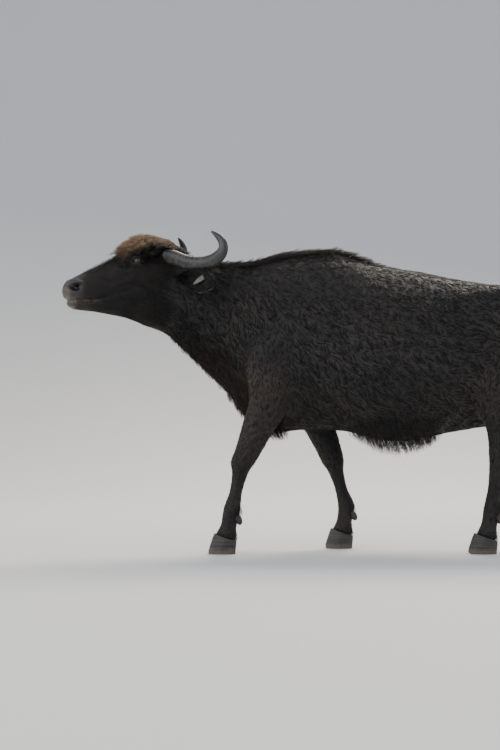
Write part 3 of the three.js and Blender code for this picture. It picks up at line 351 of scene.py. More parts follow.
reach_trunk = np.linspace(-1172, 930, 150)
reach_skull = np.linspace(-50, 498, 90)
reach_jaw = np.linspace(-16, 480, 80)
trunk = oval_rings(trunk_at, reach_trunk, 0, 72, INSET + 1)
skull = oval_rings(skull_at, reach_skull, POLL, 64, INSET - 1)
jaw = oval_rings(jaw_at, reach_jaw, POLL, 56, INSET - 1)
crown = oval_rings(mop_at, np.linspace(-40, 240, 60), POLL, 56, 17)
bulges = []
for side in SIDES.values():
    bulges += [
        ball(at_side(EYE_AT, side, (2, -15, 1)), (47, 38, 37)),
        ball(at_side(HORN_AT, side, (4, -24, -4)), (45, 39, 39)),
        ball(place(-664, side * 150, 1131), (147, 99, 56), -8),
        ball(place(-1092, side * 78, 1030), (75, 57, 53), 20),
    ]
    bulges += [ball(place(at, side * 36, 545), (10, 10, 27), 6 * side) for at in (-776, -838)]
bulges.append(ball(place(-806, 0, 596), (129, 81, 55)))
print(len(bulges), "bulges")

# %% [markdown]
# ## Legs
# A leg hangs from a middle line through its joints. The line is a centripetal Catmull-Rom curve, which
# passes through each joint without loops, and each ring round it has its own reach in front, behind and to
# the sides.

# %% Legs
FORELEG = [  # from joint, to joint, share of the way, reach in front and behind, half width
    ("blade", "blade", 0, 40, 60, 22), ("blade", "arm", 0.5, 96, 120, 48), ("arm", "arm", 0, 116, 140, 66),
    ("arm", "elbow", 0.55, 98, 122, 68), ("elbow", "elbow", 0, 86, 102, 66),
    ("elbow", "knee", 0.42, 69, 77, 58), ("elbow", "knee", 0.84, 55, 63, 49), ("knee", "knee", 0, 53, 55, 49),
    ("knee", "fetlock", 0.24, 36, 39, 36), ("knee", "fetlock", 0.6, 29, 33, 29),
    ("fetlock", "fetlock", 0, 38, 42, 41), ("fetlock", "hoof", 0.5, 35, 39, 41),
    ("hoof", "hoof", 0, 50, 50, 54),
]
HINDLEG = [
    ("rump", "rump", 0, 60, 105, 36), ("rump", "thigh", 0.5, 145, 205, 80),
    ("thigh", "thigh", 0, 180, 246, 98), ("thigh", "stifle", 0.6, 136, 262, 98),
    ("stifle", "stifle", 0, 94, 238, 88), ("stifle", "hock", 0.34, 68, 150, 68),
    ("stifle", "hock", 0.8, 43, 68, 42), ("hock", "hock", 0, 44, 58, 43),
    ("hock", "fetlock", 0.2, 36, 40, 35), ("hock", "fetlock", 0.6, 30, 34, 30),
    ("fetlock", "fetlock", 0, 39, 43, 42),
    ("fetlock", "hoof", 0.5, 36, 39, 41), ("hoof", "hoof", 0, 50, 50, 54),
]
FORE_JOINTS = ("blade", "arm", "elbow", "knee", "fetlock", "hoof")
HIND_JOINTS = ("rump", "thigh", "stifle", "hock", "fetlock", "hoof")
LEGS = {  # side, sizes and joints, each joint by its place behind, aside and above the floor
    name: (side, sizes, dict(zip(joints, spots))) for name, side, sizes, joints, spots in (
        ("foreleg_left", -1, FORELEG, FORE_JOINTS, (
            (-85, 122, 1215), (-280, 186, 885), (-296, 176, 660), (-407, 160, 402), (-455, 150, 192),
            (-478, 147, 72))),
        ("foreleg_right", 1, FORELEG, FORE_JOINTS, (
            (-75, 122, 1215), (-205, 186, 885), (-100, 176, 655), (6, 160, 398), (66, 150, 190),
            (52, 147, 72))),
        ("hindleg_left", -1, HINDLEG, HIND_JOINTS, (
            (840, 130, 1120), (880, 160, 985), (690, 180, 742), (724, 158, 452), (698, 148, 196),
            (675, 146, 72))),
        ("hindleg_right", 1, HINDLEG, HIND_JOINTS, (
            (845, 130, 1120), (890, 160, 985), (790, 180, 715), (955, 158, 444), (1040, 148, 196),
            (1030, 146, 72))),
    )
}
CORONET = math.radians(18)


def curve_through(points, count):
    """A centripetal Catmull-Rom curve: places and directions at even steps of its rows."""
    points = np.array(points, float)
    ends = [2 * points[:1] - points[1:2], points, 2 * points[-1:] - points[-2:-1]]
    points = np.concatenate(ends)
    rows = len(points) - 3
    at = np.linspace(0, rows, count)
    i = np.minimum(at.astype(int), rows - 1)
    u = (at - i)[:, None]
    p0, p1, p2, p3 = (points[i + k] for k in range(4))
    d0, d1, d2 = (np.linalg.norm(step, axis=1, keepdims=True) ** 0.5 for step in (p1 - p0, p2 - p1, p3 - p2))
    lean1 = ((p1 - p0) / d0 - (p2 - p0) / (d0 + d1) + (p2 - p1) / d1) * d1
    lean2 = ((p2 - p1) / d1 - (p3 - p1) / (d1 + d2) + (p3 - p2) / d2) * d1
    square, cube = -3 * p1 + 3 * p2 - 2 * lean1 - lean2, 2 * p1 - 2 * p2 + lean1 + lean2
    return at, p1 + lean1 * u + square * u**2 + cube * u**3, unit(lean1 + 2 * square * u + 3 * cube * u**2)


def leg_rings(side, sizes, joints, count=110, around=40, inset=3.0):
    """Rings round a leg: middle + front reach sin a + side half cos a, leaning to the coronet at the foot."""
    spot = {name: np.array([x, side * aside, height]) for name, (x, aside, height) in joints.items()}
    middle = [spot[a] + (spot[b] - spot[a]) * share for a, b, share, *_ in sizes]
    at, line, way = curve_through(middle, count)
    front, back, half = smooth_table([(i, *row[3:]) for i, row in enumerate(sizes)])(at).T
    share = ramp(len(sizes) - 2.5, len(sizes) - 1, at)[:, None]
    lean = unit(way - 1.2 * UP)
    down = unit(lean * (1 - share) + np.array([-math.sin(CORONET), 0, -math.cos(CORONET)]) * share)
    forward = unit(np.cross(down, ASIDE))
    forward *= np.where(forward[:, :1] > 0, -1, 1)
    angle = circle(around)
    reach = np.where(np.sin(angle) > 0, front[:, None] - inset, back[:, None] - inset) * np.sin(angle)
    aside = (half[:, None] - inset) * np.cos(angle)
    return in_frame(line[:, None] + forward[:, None] * reach[..., None] + ASIDE * aside[..., None])


legs = {name: leg_rings(*leg) for name, leg in LEGS.items()}
print("foot of", *((name, rings[-1].mean(0).round(3)) for name, rings in legs.items()))

# %% [markdown]
# ## Tail
# The tail hangs from the croup as a thin tapering tube. Only its flesh is made here, and the brush at its
# end is hair.

# %% Tail
TAIL_LINE = [
    (1000, 0, 1122), (1060, 2, 1122), (1130, 8, 1085), (1190, 18, 1000),
    (1212, 26, 880), (1208, 32, 700), (1196, 36, 560), (1190, 38, 400),
]
tail_radius = smooth_table([(0, 34), (0.2, 27), (0.45, 19), (0.75, 12), (0.84, 9), (0.93, 6), (1, 4)])


def tail_rings(count=120, around=24, inset=2.5):
    """Rings round the tail's line, its radius from a table over its length."""
    at, line, way = curve_through(TAIL_LINE, count)
    radius = tail_radius(at / at[-1])[:, 0] - inset
    front = unit(np.cross(way, ASIDE))[:, None]
    angle = circle(around)[:, None]
    return in_frame(line[:, None] + radius[:, None, None] * (front * np.cos(angle) + ASIDE * np.sin(angle)))


tail = tail_rings()
print("end of the tail", tail[-1].mean(0).round(3))

# %% [markdown]
# ## One skin from many forms
# A voxel remesh turns overlapping closed shells into one closed surface, as if the forms were dipped in
# wax. It leaves a fine, even grid, which is then smoothed where muscles run into each other and thinned
# where the body is broad. The head keeps the finest grid.

# %% Remesh
FINE_VOXEL, QUICK_VOXEL = 0.0048, 0.0085
SHELLS = [tube(rings) for rings in (trunk, skull, jaw, crown, tail)]
SHELLS += [*bulges, *(tube(rings) for rings in legs.values())]


def evaluated_copy(source, name):
    """The mesh that an object's modifiers give, as plain data, with the object removed."""
    result = bpy.data.meshes.new_from_object(source.evaluated_get(bpy.context.evaluated_depsgraph_get()))
    result.name = name
    bpy.data.objects.remove(source)
    return result


VOXEL = FINE_VOXEL
forms = mesh_object("forms", *joined(SHELLS))
wax = forms.modifiers.new("wax", "REMESH")
wax.mode = "VOXEL"
wax.voxel_size = VOXEL
waxed = evaluated_copy(forms, "waxed")
print("waxed", len(waxed.vertices), "points")

# %% [markdown]
# ## Smoothing where muscle meets muscle
# Each point moves towards the mean of its neighbours, a given number of times and by a weight that differs
# over the body. The weight is high along the shoulder, the thigh, the hips and the cheek, where the wax has
# sharp valleys between forms, and low on lips, feet and bones.

# %% Smoothing


def mesh_arrays(mesh):
    """Points and edges of a mesh as arrays."""
    points = np.empty(3 * len(mesh.vertices), np.float32)
    mesh.vertices.foreach_get("co", points)
    edges = np.empty(2 * len(mesh.edges), np.int32)
    mesh.edges.foreach_get("vertices", edges)
    return points.reshape(-1, 3).astype(float), edges.reshape(-1, 2)


def neighbour_mean(values, edges, count):
    """The mean of each point's neighbours, from sums over the edges."""
    both = np.concatenate([edges, edges[:, ::-1]])
    valence = np.maximum(np.bincount(both[:, 0], minlength=count), 1)
    sums = [np.bincount(both[:, 0], values[both[:, 1], k], minlength=count) for k in range(values.shape[1])]
    return np.stack(sums, -1) / valence[:, None]


def near(points, centre, sizes):
    """1 at a centre and 0 beyond an ellipsoid about it, falling as a smooth step."""
    return 1 - ramp(0.3, 1, np.linalg.norm((points - centre) / (np.array(sizes) * MM), axis=1))


SMOOTHING_ROUNDS = 150
SOFT_ZONES = [  # middle and reach of each, in millimetres
    (place, (170, 190, 960), (420, 260, 360)), (place, (-600, 190, 1080), (300, 220, 130)),
    (place, (-840, 210, 900), (420, 260, 420)), (place, (-1090, 80, 1010), (220, 200, 200)),
    (place, (190, 200, 700), (300, 200, 160)), (place, (-760, 150, 640), (330, 200, 240)),
    (on_head, (90, 85, 1140), (190, 90, 120)), (on_head, (30, 60, 1310), (130, 90, 60)),
    (on_head, (-30, 90, 1210), (130, 80, 150)), (place, (-664, 200, 1150), (260, 200, 130)),
    (place, (-806, 60, 600), (200, 100, 44)), (on_head, (235, 72, 1116), (125, 60, 46)),
]
points, edges = mesh_arrays(waxed)
ahead, aside, height = head_places(points)
soft = np.full(len(points), 0.10)
for side in SIDES.values():
    for where, (reach, out, high), sizes in SOFT_ZONES:
        soft = np.maximum(soft, near(points, where(reach, side * out, high), sizes))
    soft = np.maximum(soft, 0.5 * near(points, on_head(188, side * 75, 1293), (110, 70, 80)))
muzzle = ramp(300, 340, ahead)
soft *= 1 - 0.93 * muzzle
rounds = int(SMOOTHING_ROUNDS * (FINE_VOXEL / VOXEL) ** 2)
for _ in range(rounds):
    points += 0.5 * soft[:, None] * (neighbour_mean(points, edges, len(points)) - points)
waxed.vertices.foreach_set("co", points.astype(np.float32).ravel())
print("smoothed", rounds, "times")

# %% [markdown]
# ## Thinning
# The body doesn't need the grid of the lips. The Decimate modifier removes points where they matter least,
# and a vertex group keeps it away from the head and the feet.

# %% Thinning
SKIN_TRIANGLES = 150000
skin = bpy.data.objects.new("skin", waxed)
bpy.context.collection.objects.link(skin)
keep = ramp(-60, 20, ahead) * (0.75 + 0.25 * muzzle)
keep = np.maximum(keep, 0.35 * ramp(0.5, 0.3, points[:, 2]))
levels = np.round(1 - keep, 1)
group = skin.vertex_groups.new(name="broad")
for level in np.unique(levels):
    group.add(np.nonzero(levels == level)[0].tolist(), float(level), "REPLACE")
count = sum(len(face.vertices) - 2 for face in waxed.polygons)
thin = skin.modifiers.new("thin", "DECIMATE")
thin.ratio = min(1.0, SKIN_TRIANGLES / count)
thin.vertex_group = "broad"
thin.vertex_group_factor = 1.0
skin_mesh = evaluated_copy(skin, "skin")
print("skin", len(skin_mesh.vertices), "points", len(skin_mesh.polygons), "faces")

# %% [markdown]
# ## Folds, bones and nostrils
# What the tables can't hold is pressed into the skin afterwards. Each form is a short formula in the head's
# own places or in the body's: pits for the nostrils, a crest on the cheek bone, soft waves for the ribs,
# and the folds where the throat bends. Every point moves along its normal by the sum.

# %% Pressing details into the skin


def mesh_normals(mesh):
    """Normals at the points of a mesh."""
    normals = np.empty(3 * len(mesh.vertices), np.float32)
    mesh.vertices.foreach_get("normal", normals)
    return normals.reshape(-1, 3).astype(float)


def hollow(distance, depth, rim=0.0):
    """A round pit: -depth at its middle, nothing beyond a distance of 1.15, with a raised rim at 1.35."""
    pit = -depth * (1 - ramp(0.35, 1.15, distance))
    return pit + rim * bell((distance - 1.35) / 0.3)


points, edges = mesh_arrays(skin_mesh)
normals = mesh_normals(skin_mesh)
ahead, aside, height = head_places(points)
out = np.abs(aside)
on_face = ramp(-120, 60, ahead)

nose = np.hypot((ahead - 463) / 26, (height - 1176) / 20) + 0.3 * (out < 22)
slit = np.hypot((ahead - 446 + 0.5 * (height - 1184)) / 19, (height - 1186) / 7)
pits = (hollow(nose, 19, 3.0) + hollow(slit, 10, 1.6)) * (out > 16)
over_cheek = height - 1212 + 0.28 * (ahead - 190)
crest = bell(over_cheek / 11) * band(ahead, 175, 215, 270, 340)
under_eye = bell((over_cheek - 26) / 14) * band(ahead, 190, 225, 250, 310)
jaw_muscle = bell((ahead - 92) / 62, (height - 1112) / 55) * (out > 30)
temple = bell((ahead - 118) / 34, (height - 1308) / 26) * (out > 60)
tear_hollow = bell((ahead - 238) / 24, (height - 1276) / 24) * (out > 45)
mouth_end = bell((ahead - 352) / 16, (height - 1118) / 10) * (out > 30)
philtrum = bell(aside / 3.5) * ramp(462, 490, ahead) * ramp(1192, 1180, height)
lip_folds = np.sin((ahead + 0.6 * height) / 3.1) * band(ahead, 330, 350, 375, 400)
lip_folds *= bell((height - 1126) / 12) * (out > 30)
face = (
    pits + 3.5 * crest - 3.0 * under_eye + 5 * jaw_muscle - 4 * temple - 5 * tear_hollow - 2.2 * mouth_end
    - 2.5 * philtrum + 0.7 * lip_folds
)

reach = np.where(ahead > -400, POLL + ahead, -(points[:, 0] + SHIFT) / MM)
folds = np.zeros(len(points))
THROAT_FOLDS = [(706, 0.34, 3.2), (672, 0.42, 2.6), (634, 0.38, 2.2), (590, 0.44, 1.8), (540, 0.5, 1.6)]
for start, slope, strength in THROAT_FOLDS:
    past = reach - start + slope * (1150 - height)
    fade = ramp(1270, 1180, height) * ramp(840, 930, height + 0.35 * (start - 540))
    folds += strength * fade * (0.6 * bell((past - 20) / 12) - bell(past / 8))
z, beside = points[:, 2] / MM, np.abs(points[:, 1]) / MM
on_trunk = band(reach, -1180, -1120, 440, 520) * ramp(460, 520, z)
ribs = np.cos((reach + 0.16 * (z - 800)) / 8.6)
ribs *= band(reach, -520, -440, -60, 20) * band(z, 560, 680, 1020, 1130)
flank = bell((reach + 566) / 74, (z - 1060) / 72)
flank_fold = bell((reach + 640 + 0.5 * (z - 800)) / 26) * band(z, 620, 720, 820, 900)
blade = bell((reach - 60 - 0.32 * (z - 1100)) / 24) * band(z, 800, 960, 1180, 1290)
blade_edge = bell((reach + 40 - 0.3 * (z - 1000)) / 30) * band(z, 720, 860, 1120, 1240)
elbow_fold = bell((reach - 160 + 0.4 * (z - 660)) / 20) * band(z, 560, 620, 700, 800)
spine = bell(beside / 16) * ramp(-140, -260, reach) * (z > 1100) * np.cos(reach / 13) ** 2
sides = 1.5 * ribs - 17 * flank - 4 * flank_fold + 4.5 * blade - 5 * blade_edge - 3 * elbow_fold
body = on_trunk * (ramp(60, 150, beside) * sides + 3.0 * spine)
press = (face * on_face + folds + body * (1 - on_face)) * MM
points += normals * press[:, None]
print("pressed in by up to", press.min().round(4), "and out by", press.max().round(4))

# %% [markdown]
# ## Eye sockets
# The eyeball needs room, so the skin is pushed back inside an oval about each eye. Lids are surfaces of
# their own, and their outer edge dives under the skin around the socket.

# %% Sockets


def eye_frame(side):
    """The middle of an eye, and its own directions: out of the head, along the opening and up across it."""
    outward = unit(headway(0.36, side, 0.05))
    upward = unit(np.cross(outward, headway(1.0, -0.36 * side, -0.3))) * side
    along = np.cross(upward, outward) * side
    return at_side(EYE_AT, side), outward, along, upward


for side in SIDES.values():
    middle, outward, along, upward = eye_frame(side)
    away = points - middle
    depth, long, tall = away @ outward, away @ along, away @ upward
    oval = np.hypot(long / 0.030, tall / 0.024)
    back = (depth > 0) * (1 - ramp(0.75, 1.05, oval)) * np.maximum(0, depth - 0.004)
    points -= outward * back[:, None]
skin_mesh.vertices.foreach_set("co", points.astype(np.float32).ravel())
skin_mesh.update()
print("up direction of the left eye", eye_frame(-1)[3].round(2))

# %% [markdown]
# ## Lids
# A lid ring is carried round the almond opening. Its profile starts under the skin, swells to a soft roll,
# folds over at the rim and ends on the eyeball. The upper roll is fuller and creased.

# %% Lid rings
EYE_RADIUS = 20.0
lid_dome = smooth_table([(0, 24.5), (10, 22.8), (15, 20), (19, 16.5), (24, 12), (30, 7.5), (36, 0), (44, -8)])
lid_ovals = smooth_table([
    (0, 38, 31), (0.2, 32, 25.5), (0.42, 27, 19.5), (0.62, 23, 14.8), (0.78, 20.4, 11.8), (0.88, 19, 10.4),
    (1, 17.6, 9.4),
])


def lid_ring(side, around=120, rows=30):
    """Places middle + along l + up t + out o: l and t follow ovals that shrink from the root to the rim.

    The depth o is that of a dome over the eyeball, which flattens towards the root and meets the ball at the
    rim.
    """
    middle, outward, along, upward = eye_frame(side)
    angle = circle(around)
    v = np.linspace(0, 1, rows)[:, None]
    long, tall = lid_ovals(v[:, 0]).T[:, :, None]
    c, s = np.cos(angle), np.sin(angle)
    upper = ramp(-0.2, 0.6, s)
    pointed = 1 - 0.38 * v * c**2
    crease = upper * np.sin(2 * np.pi * (v * 3.4 - 0.1)) * bell((v - 0.4) / 0.25)
    l = long * c * (1 + 0.05 * (c > 0) * v)
    t = tall * s * pointed * (1 + 0.10 * upper * (1 - v)) - 1.2 * upper * v
    away = np.hypot(l, t)
    dome = lid_dome(away.ravel()).reshape(away.shape)
    near_ball = np.sqrt(np.maximum(0, (EYE_RADIUS + 0.7) ** 2 - np.minimum(away**2, 410)))
    swell = dome + 1.8 * upper * np.sin(np.pi * np.minimum(1, v / 0.9)) + 0.9 * crease
    rim = np.maximum(near_ball + (1.9 - 6 * (v - 0.88)) * (v < 1), near_ball * 0.97)
    blend = ramp(0.66, 0.88, v)
    o = swell * (1 - blend) + rim * blend
    return middle + MM * (l[..., None] * along + t[..., None] * upward + o[..., None] * outward)


def ring_sheet(grid):
    """Points and triangles of a band of rings, open at both ends."""
    rings, around, _ = grid.shape
    return grid.reshape(-1, 3), grid_triangles(rings, around)


def facing(shell, direction):
    """The same shell, turned so that its area faces the given direction."""
    points, triangles = shell
    corners = points[triangles]
    total = np.cross(corners[:, 1] - corners[:, 0], corners[:, 2] - corners[:, 0]).sum(0)
    return points, triangles if total @ direction > 0 else triangles[:, ::-1]


lids = [facing(ring_sheet(lid_ring(side)), eye_frame(side)[1]) for side in SIDES.values()]
print("lid points", len(lids[0][0]))

# %% [markdown]
# ## Ears
# An ear is a leaf curled into a cup, almost a tube at its root. Its half width and its curl come from a
# table over its length. The outer face follows the inner one a few millimetres behind, and both meet in a
# thin rim.

# %% Ears
ear_shape = smooth_table([
    (0, 0.5, 168), (0.15, 0.6, 150), (0.35, 0.9, 105), (0.6, 1, 72), (0.82, 0.72, 58), (0.95, 0.34, 48),
    (1, 0.1, 42),
])
EAR_LENGTH, EAR_WIDTH, EAR_THICK = 228, 60, 6


def ear_frame(side):
    """The root of an ear and its directions: along it, the way its hollow faces, and across."""
    spread, droop = math.radians(64), math.radians(9)
    level = headway(-math.cos(spread), side * math.sin(spread), 0) * math.cos(droop)
    along = level - math.sin(droop) * UP
    open_way = headway(math.sin(spread), side * math.cos(spread), -0.12)
    open_way = unit(open_way - along * (open_way @ along))
    return at_side(EAR_AT, side), along, open_way, unit(np.cross(along, open_way))


def ear_places(side, t, a, deep):
    """Root + along t + a circle of the curl's radius: behind by its cosine, across by its sine."""
    root, along, open_way, across = ear_frame(side)
    width, curl = np.moveaxis(ear_shape(t), -1, 0)
    curl = np.radians(curl)
    radius = width * EAR_WIDTH / curl
    angle = a * curl
    reach = radius + deep * (1 - 0.45 * a * a)
    behind = radius * 0.55 - reach * np.cos(angle)
    lengthwise = EAR_LENGTH * (t - 0.08)
    parts = zip((lengthwise, behind, reach * np.sin(angle)), (along, open_way, across))
    return root + MM * sum(part[..., None] * way for part, way in parts)


def ear(side, rows=56, cells=30):
    """A closed tube round the leaf: its inner face from edge to edge, then its outer face back."""
    t = np.linspace(0, 0.995, rows)[:, None]
    a = np.linspace(-1, 1, cells)[None]
    wave = 1.2 * np.sin(9 * t + 2 * a) * t * (1 - t) * 4
    vein = 0.9 * bell((np.abs(a) - 0.35 + 0.2 * t) / 0.07) * np.sin(np.pi * t)
    edge = np.clip((1 - np.abs(a)) / 0.16, 0, 1) ** 0.5
    deep = 0.6 + wave + vein * 0.6 + 2.0 * (1 - edge)
    behind = (EAR_THICK - 1.2) * edge + 1.2 * (1 - edge) + wave + vein + 1.4
    inner, outer = (ear_places(side, t + 0 * a, a + 0 * t, depth) for depth in (deep, behind))
    return tube(np.concatenate([inner, outer[:, ::-1]], axis=1))


ears = [ear(side) for side in SIDES.values()]
for name, (ear_points, _) in zip(SIDES, ears):
    low, high = (np.array(corner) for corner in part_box(f"ear_{name}"))
    room = np.concatenate([ear_points.min(0) - low, high - ear_points.max(0)])
    print("ear", name, "inside its node by", room.round(4))

# %% [markdown]
# ## The skin object
# Skin, lids and ears become one mesh. It stands for every node of flesh, so those nodes are hidden in the
# render and stay in the physics. The tail's brush is left to its hair.

# %% Skin object


def triangles_of(mesh):
    """The corners of a mesh's triangles."""
    mesh.calc_loop_triangles()
    corners = np.empty(3 * len(mesh.loop_triangles), np.int32)
    mesh.loop_triangles.foreach_get("vertices", corners)
    return corners.reshape(-1, 3)


body_shell = (points, triangles_of(skin_mesh))
skin = mesh_object("skin", *joined([body_shell, *lids, *ears]))
NOT_FLESH = ("claw", "horn", "eye", "tag", "switch")
FLESH = [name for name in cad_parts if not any(word in name for word in NOT_FLESH)]
stand_for(skin, "hide", *FLESH)
print("skin stands for", len(FLESH), "nodes")

# %% [markdown]
# ## Horns
# A buffalo's horn is flattened, sweeps back and curls up, and has low rings where it grew. Its middle line
# is found by stepping along a slope that a table gives. Rings of growth are a ripple of uneven pitch that
# fades towards the smooth tip, and fine grooves run lengthwise.

# %% Horns
horn_rise = smooth_table([
    (0, -5), (0.158, -21), (0.317, -9), (0.444, 2), (0.56, 18), (0.676, 40), (0.772, 76), (0.857, 119),
    (0.94, 140), (1, 146),
])
horn_tall = smooth_table([(0, 1), (0.45, 0.93), (0.65, 0.82), (0.77, 0.64), (0.9, 0.42), (1, 0.14)])
HORN_RINGS, HORN_AROUND = 300, 56
HORN_LENGTH, HORN_BURIED, HORN_TALL, HORN_FLAT, HORN_SWEEP = 397, 38, 33, 0.78, math.radians(45)


def horn_line(side, steps=18):
    """Knots of the middle line: each lies one step further along the slope of its own place."""
    outward = headway(-math.cos(HORN_SWEEP), side * math.sin(HORN_SWEEP), 0)
    full = HORN_LENGTH + HORN_BURIED
    t = np.maximum(0, full * np.arange(steps + 1) / steps - HORN_BURIED) / HORN_LENGTH
    rise = np.radians(horn_rise(t)[:, 0])
    step = (outward * np.cos(rise)[:, None] + UP * np.sin(rise)[:, None]) * MM * full / steps
    first = math.radians(horn_rise(0)[0])
    start = at_side(HORN_AT, side, (0, 0, -HORN_BURIED * math.sin(first)))
    start = start - outward * HORN_BURIED * math.cos(first) * MM
    step[0] = 0
    return start + np.cumsum(step, axis=0)


def horn(side, rings=HORN_RINGS, around=HORN_AROUND):
    """Ovals square to the line: tall tall(t) by tall flat(t), times a ripple of the growth rings."""
    at, line, way = curve_through(horn_line(side), rings)
    t = np.maximum(0, (HORN_LENGTH + HORN_BURIED) * at / at[-1] - HORN_BURIED) / HORN_LENGTH
    across = headway(math.sin(HORN_SWEEP), side * math.cos(HORN_SWEEP), 0)
    up = unit(np.cross(across, way))
    angle = circle(around)
    fade = (1 - ramp(0.42, 0.68, t))[:, None]
    pitch = 2 * np.pi * (27 * t + 1.1 * np.sin(5.1 * t) + 0.35 * np.sin(17 * t + side))[:, None]
    ridge = (0.5 + 0.5 * np.sin(pitch + 0.35 * np.sin(angle) + 0.2 * np.sin(3 * angle))) ** 2
    groove = np.sin(23 * angle + 2 * np.sin(9 * t)[:, None]) + 0.6 * np.sin(41 * angle + 3 * t[:, None])
    size = HORN_TALL * horn_tall(t)[:, :1]
    swell = 1 + fade * (0.040 * ridge - 0.020) + 0.004 * groove * ramp(1, 0.6, t)[:, None]
    swell *= 1 + 0.035 * np.cos(3 * (angle - 0.4)) * ramp(0.9, 0.3, t)[:, None]
    tall, wide = size * np.sin(angle) * swell, size * HORN_FLAT * np.cos(angle) * swell
    return line[:, None] + MM * (up[:, None] * tall[..., None] + across * wide[..., None])


horns = []
run = np.append(np.repeat(np.linspace(0, 1, HORN_RINGS), HORN_AROUND), (0, 1))
turn = np.append(np.tile(circle(HORN_AROUND), HORN_RINGS), (0, 0))
for name, side in SIDES.items():
    piece = mesh_object(f"horn_{name}_finished", *tube(horn(side)))
    add_numbers(piece, "along", run)
    add_numbers(piece, "grain", np.stack([np.cos(turn), np.sin(turn), run], -1))
    stand_for(piece, "horn", f"horn_{name}")
    horns.append(piece)

# %% [markdown]
# ## Hooves
# Each foot stands on two claws with flat soles. A claw is a column of ovals, blunt at the heel and narrower
# at the toe, that leans back as it rises to the coronet. Fine growth lines ring the wall, and its edge is a
# little worn. Behind each pastern hang two small dewclaws.

# %% Claws and dewclaws
CLAW_TOE, CLAW_HEEL, CLAW_HALF, CLAW_APART = 66, 54, 27, 30
claw_rows = smooth_table([(0, 0.93, 0), (0.04, 1, 0), (0.5, 0.93, 6), (0.93, 0.835, 13), (1, 0.80, 14)])


def claw(side, joints, inner, rows=44, around=72):
    """Ovals narrowed ahead by 1 - 0.42 cos^2, scaled and set back by height; the top slopes down behind."""
    x, aside, _ = joints["hoof"]
    up = np.linspace(0, 1, rows) ** 0.9
    grow, back = claw_rows(up).T[:, :, None]
    angle = circle(around)
    along = np.cos(angle)
    reach = np.where(along > 0, CLAW_TOE, CLAW_HEEL)
    lines = 0.35 * np.sin(52 * up)[:, None] * ramp(0.05, 0.2, up)[:, None]
    px = x - 12 - reach * along * grow + back - lines * along
    narrow = 1 - 0.42 * np.maximum(0, along) ** 2
    y = side * aside + inner * CLAW_APART
    py = y + (CLAW_HALF * narrow * np.minimum(1, grow + 0.06) + lines) * np.sin(angle)
    top = 71.7 + (x - px) * math.tan(CORONET)
    pz = up[:, None] * top
    return tube(in_frame(np.stack([px, py, pz], -1)))


def dewclaw(side, joints, inner):
    """A small leaning ball about a third of the way from the fetlock to the hoof."""
    joint, hoof = np.array(joints["fetlock"], float), np.array(joints["hoof"], float)
    middle = joint + (hoof - joint) * 0.35
    middle = np.array([middle[0] + 40, side * joint[1] + inner * 21, middle[2]])
    return ball(in_frame(middle), (15, 12, 24), -28, 24, 32)


hooves = []
for name, (side, _, joints) in LEGS.items():
    for label, inner in (("inner", -side), ("outer", side)):
        for kind, maker in (("claw", claw), ("dewclaw", dewclaw)):
            piece = mesh_object(f"{name}_{kind}_{label}_finished", *maker(side, joints, inner))
            stand_for(piece, "hoof", f"{name}_{kind}_{label}")
            hooves.append(piece)

# %% [markdown]
# ## Eyes
# The eyeball is a sphere with the cornea standing a little proud. Its own map holds the place across the
# eye, so that the iris and the lying oval of the pupil can be painted from it, the same on both sides.

# %% Eyeballs


def eyeball(side, rows=60, around=72):
    """Radius 19.7 + 0.5 exp(-(angle from the axis / 0.45)^2), with the across and up places as its map."""
    middle, outward, along, upward = eye_frame(side)
    down = np.linspace(0.02, np.pi - 0.02, rows)[:, None]
    turn = circle(around)
    radius = 19.7 + 0.5 * np.exp(-((down / 0.45) ** 2))
    flat = np.stack([np.cos(down) + 0 * turn, np.sin(down) * np.cos(turn), np.sin(down) * np.sin(turn)], -1)
    return tube(middle + MM * radius[..., None] * (flat @ np.stack([outward, along, upward])))


eyes = []
for name, side in SIDES.items():
    eye_points, eye_triangles = eyeball(side)
    piece = mesh_object(f"eye_{name}_finished", eye_points, eye_triangles)
    middle, outward, along, upward = eye_frame(side)
    away = (eye_points - middle) / (EYE_RADIUS * MM)
    across_eye = np.stack([away @ along, away @ upward], -1) * 0.5
    hidden = (away @ outward)[:, None] <= 0  # the back of the ball goes to the rim of the map, which is white
    across_eye = np.where(hidden, 0.4995 * np.sign(across_eye), across_eye) + 0.5
    add_map(piece, "iris", across_eye[eye_triangles.ravel()])
    stand_for(piece, "eye", f"eye_{name}")
    eyes.append(piece)

# %% [markdown]
# ## The ear tag
# A blank flexible plate hangs in the left ear from a pin with a button on each side. The plate's outline is
# a polygon whose corners are cut again and again until they are round, and its edge is carried over a small
# radius.

# %% Tag


def corner_cut(outline, rounds):
    """Chaikin's rule: each side is replaced by its part between a quarter and three quarters."""
    for _ in range(rounds):
        following = np.roll(outline, -1, axis=0)
        near, far = 0.75 * outline + 0.25 * following, 0.25 * outline + 0.75 * following
        outline = np.stack([near, far], 1).reshape(-1, 2)
    return outline


def spindle(start, end, profile, around=40):
    """A round piece along a line: rings whose share of the way and radius come from a profile."""
    way = unit(end - start)
    first = unit(np.cross(way, [0.3, 0.2, 1.0]))
    second = np.cross(way, first)
    share, radius = np.array(profile, float).T
    angle = circle(around)[:, None]
    hoop = first * np.cos(angle) + second * np.sin(angle)
    middles = start + (end - start) * share[:, None]
    return tube(middles[:, None] + hoop * (radius * MM)[:, None, None])


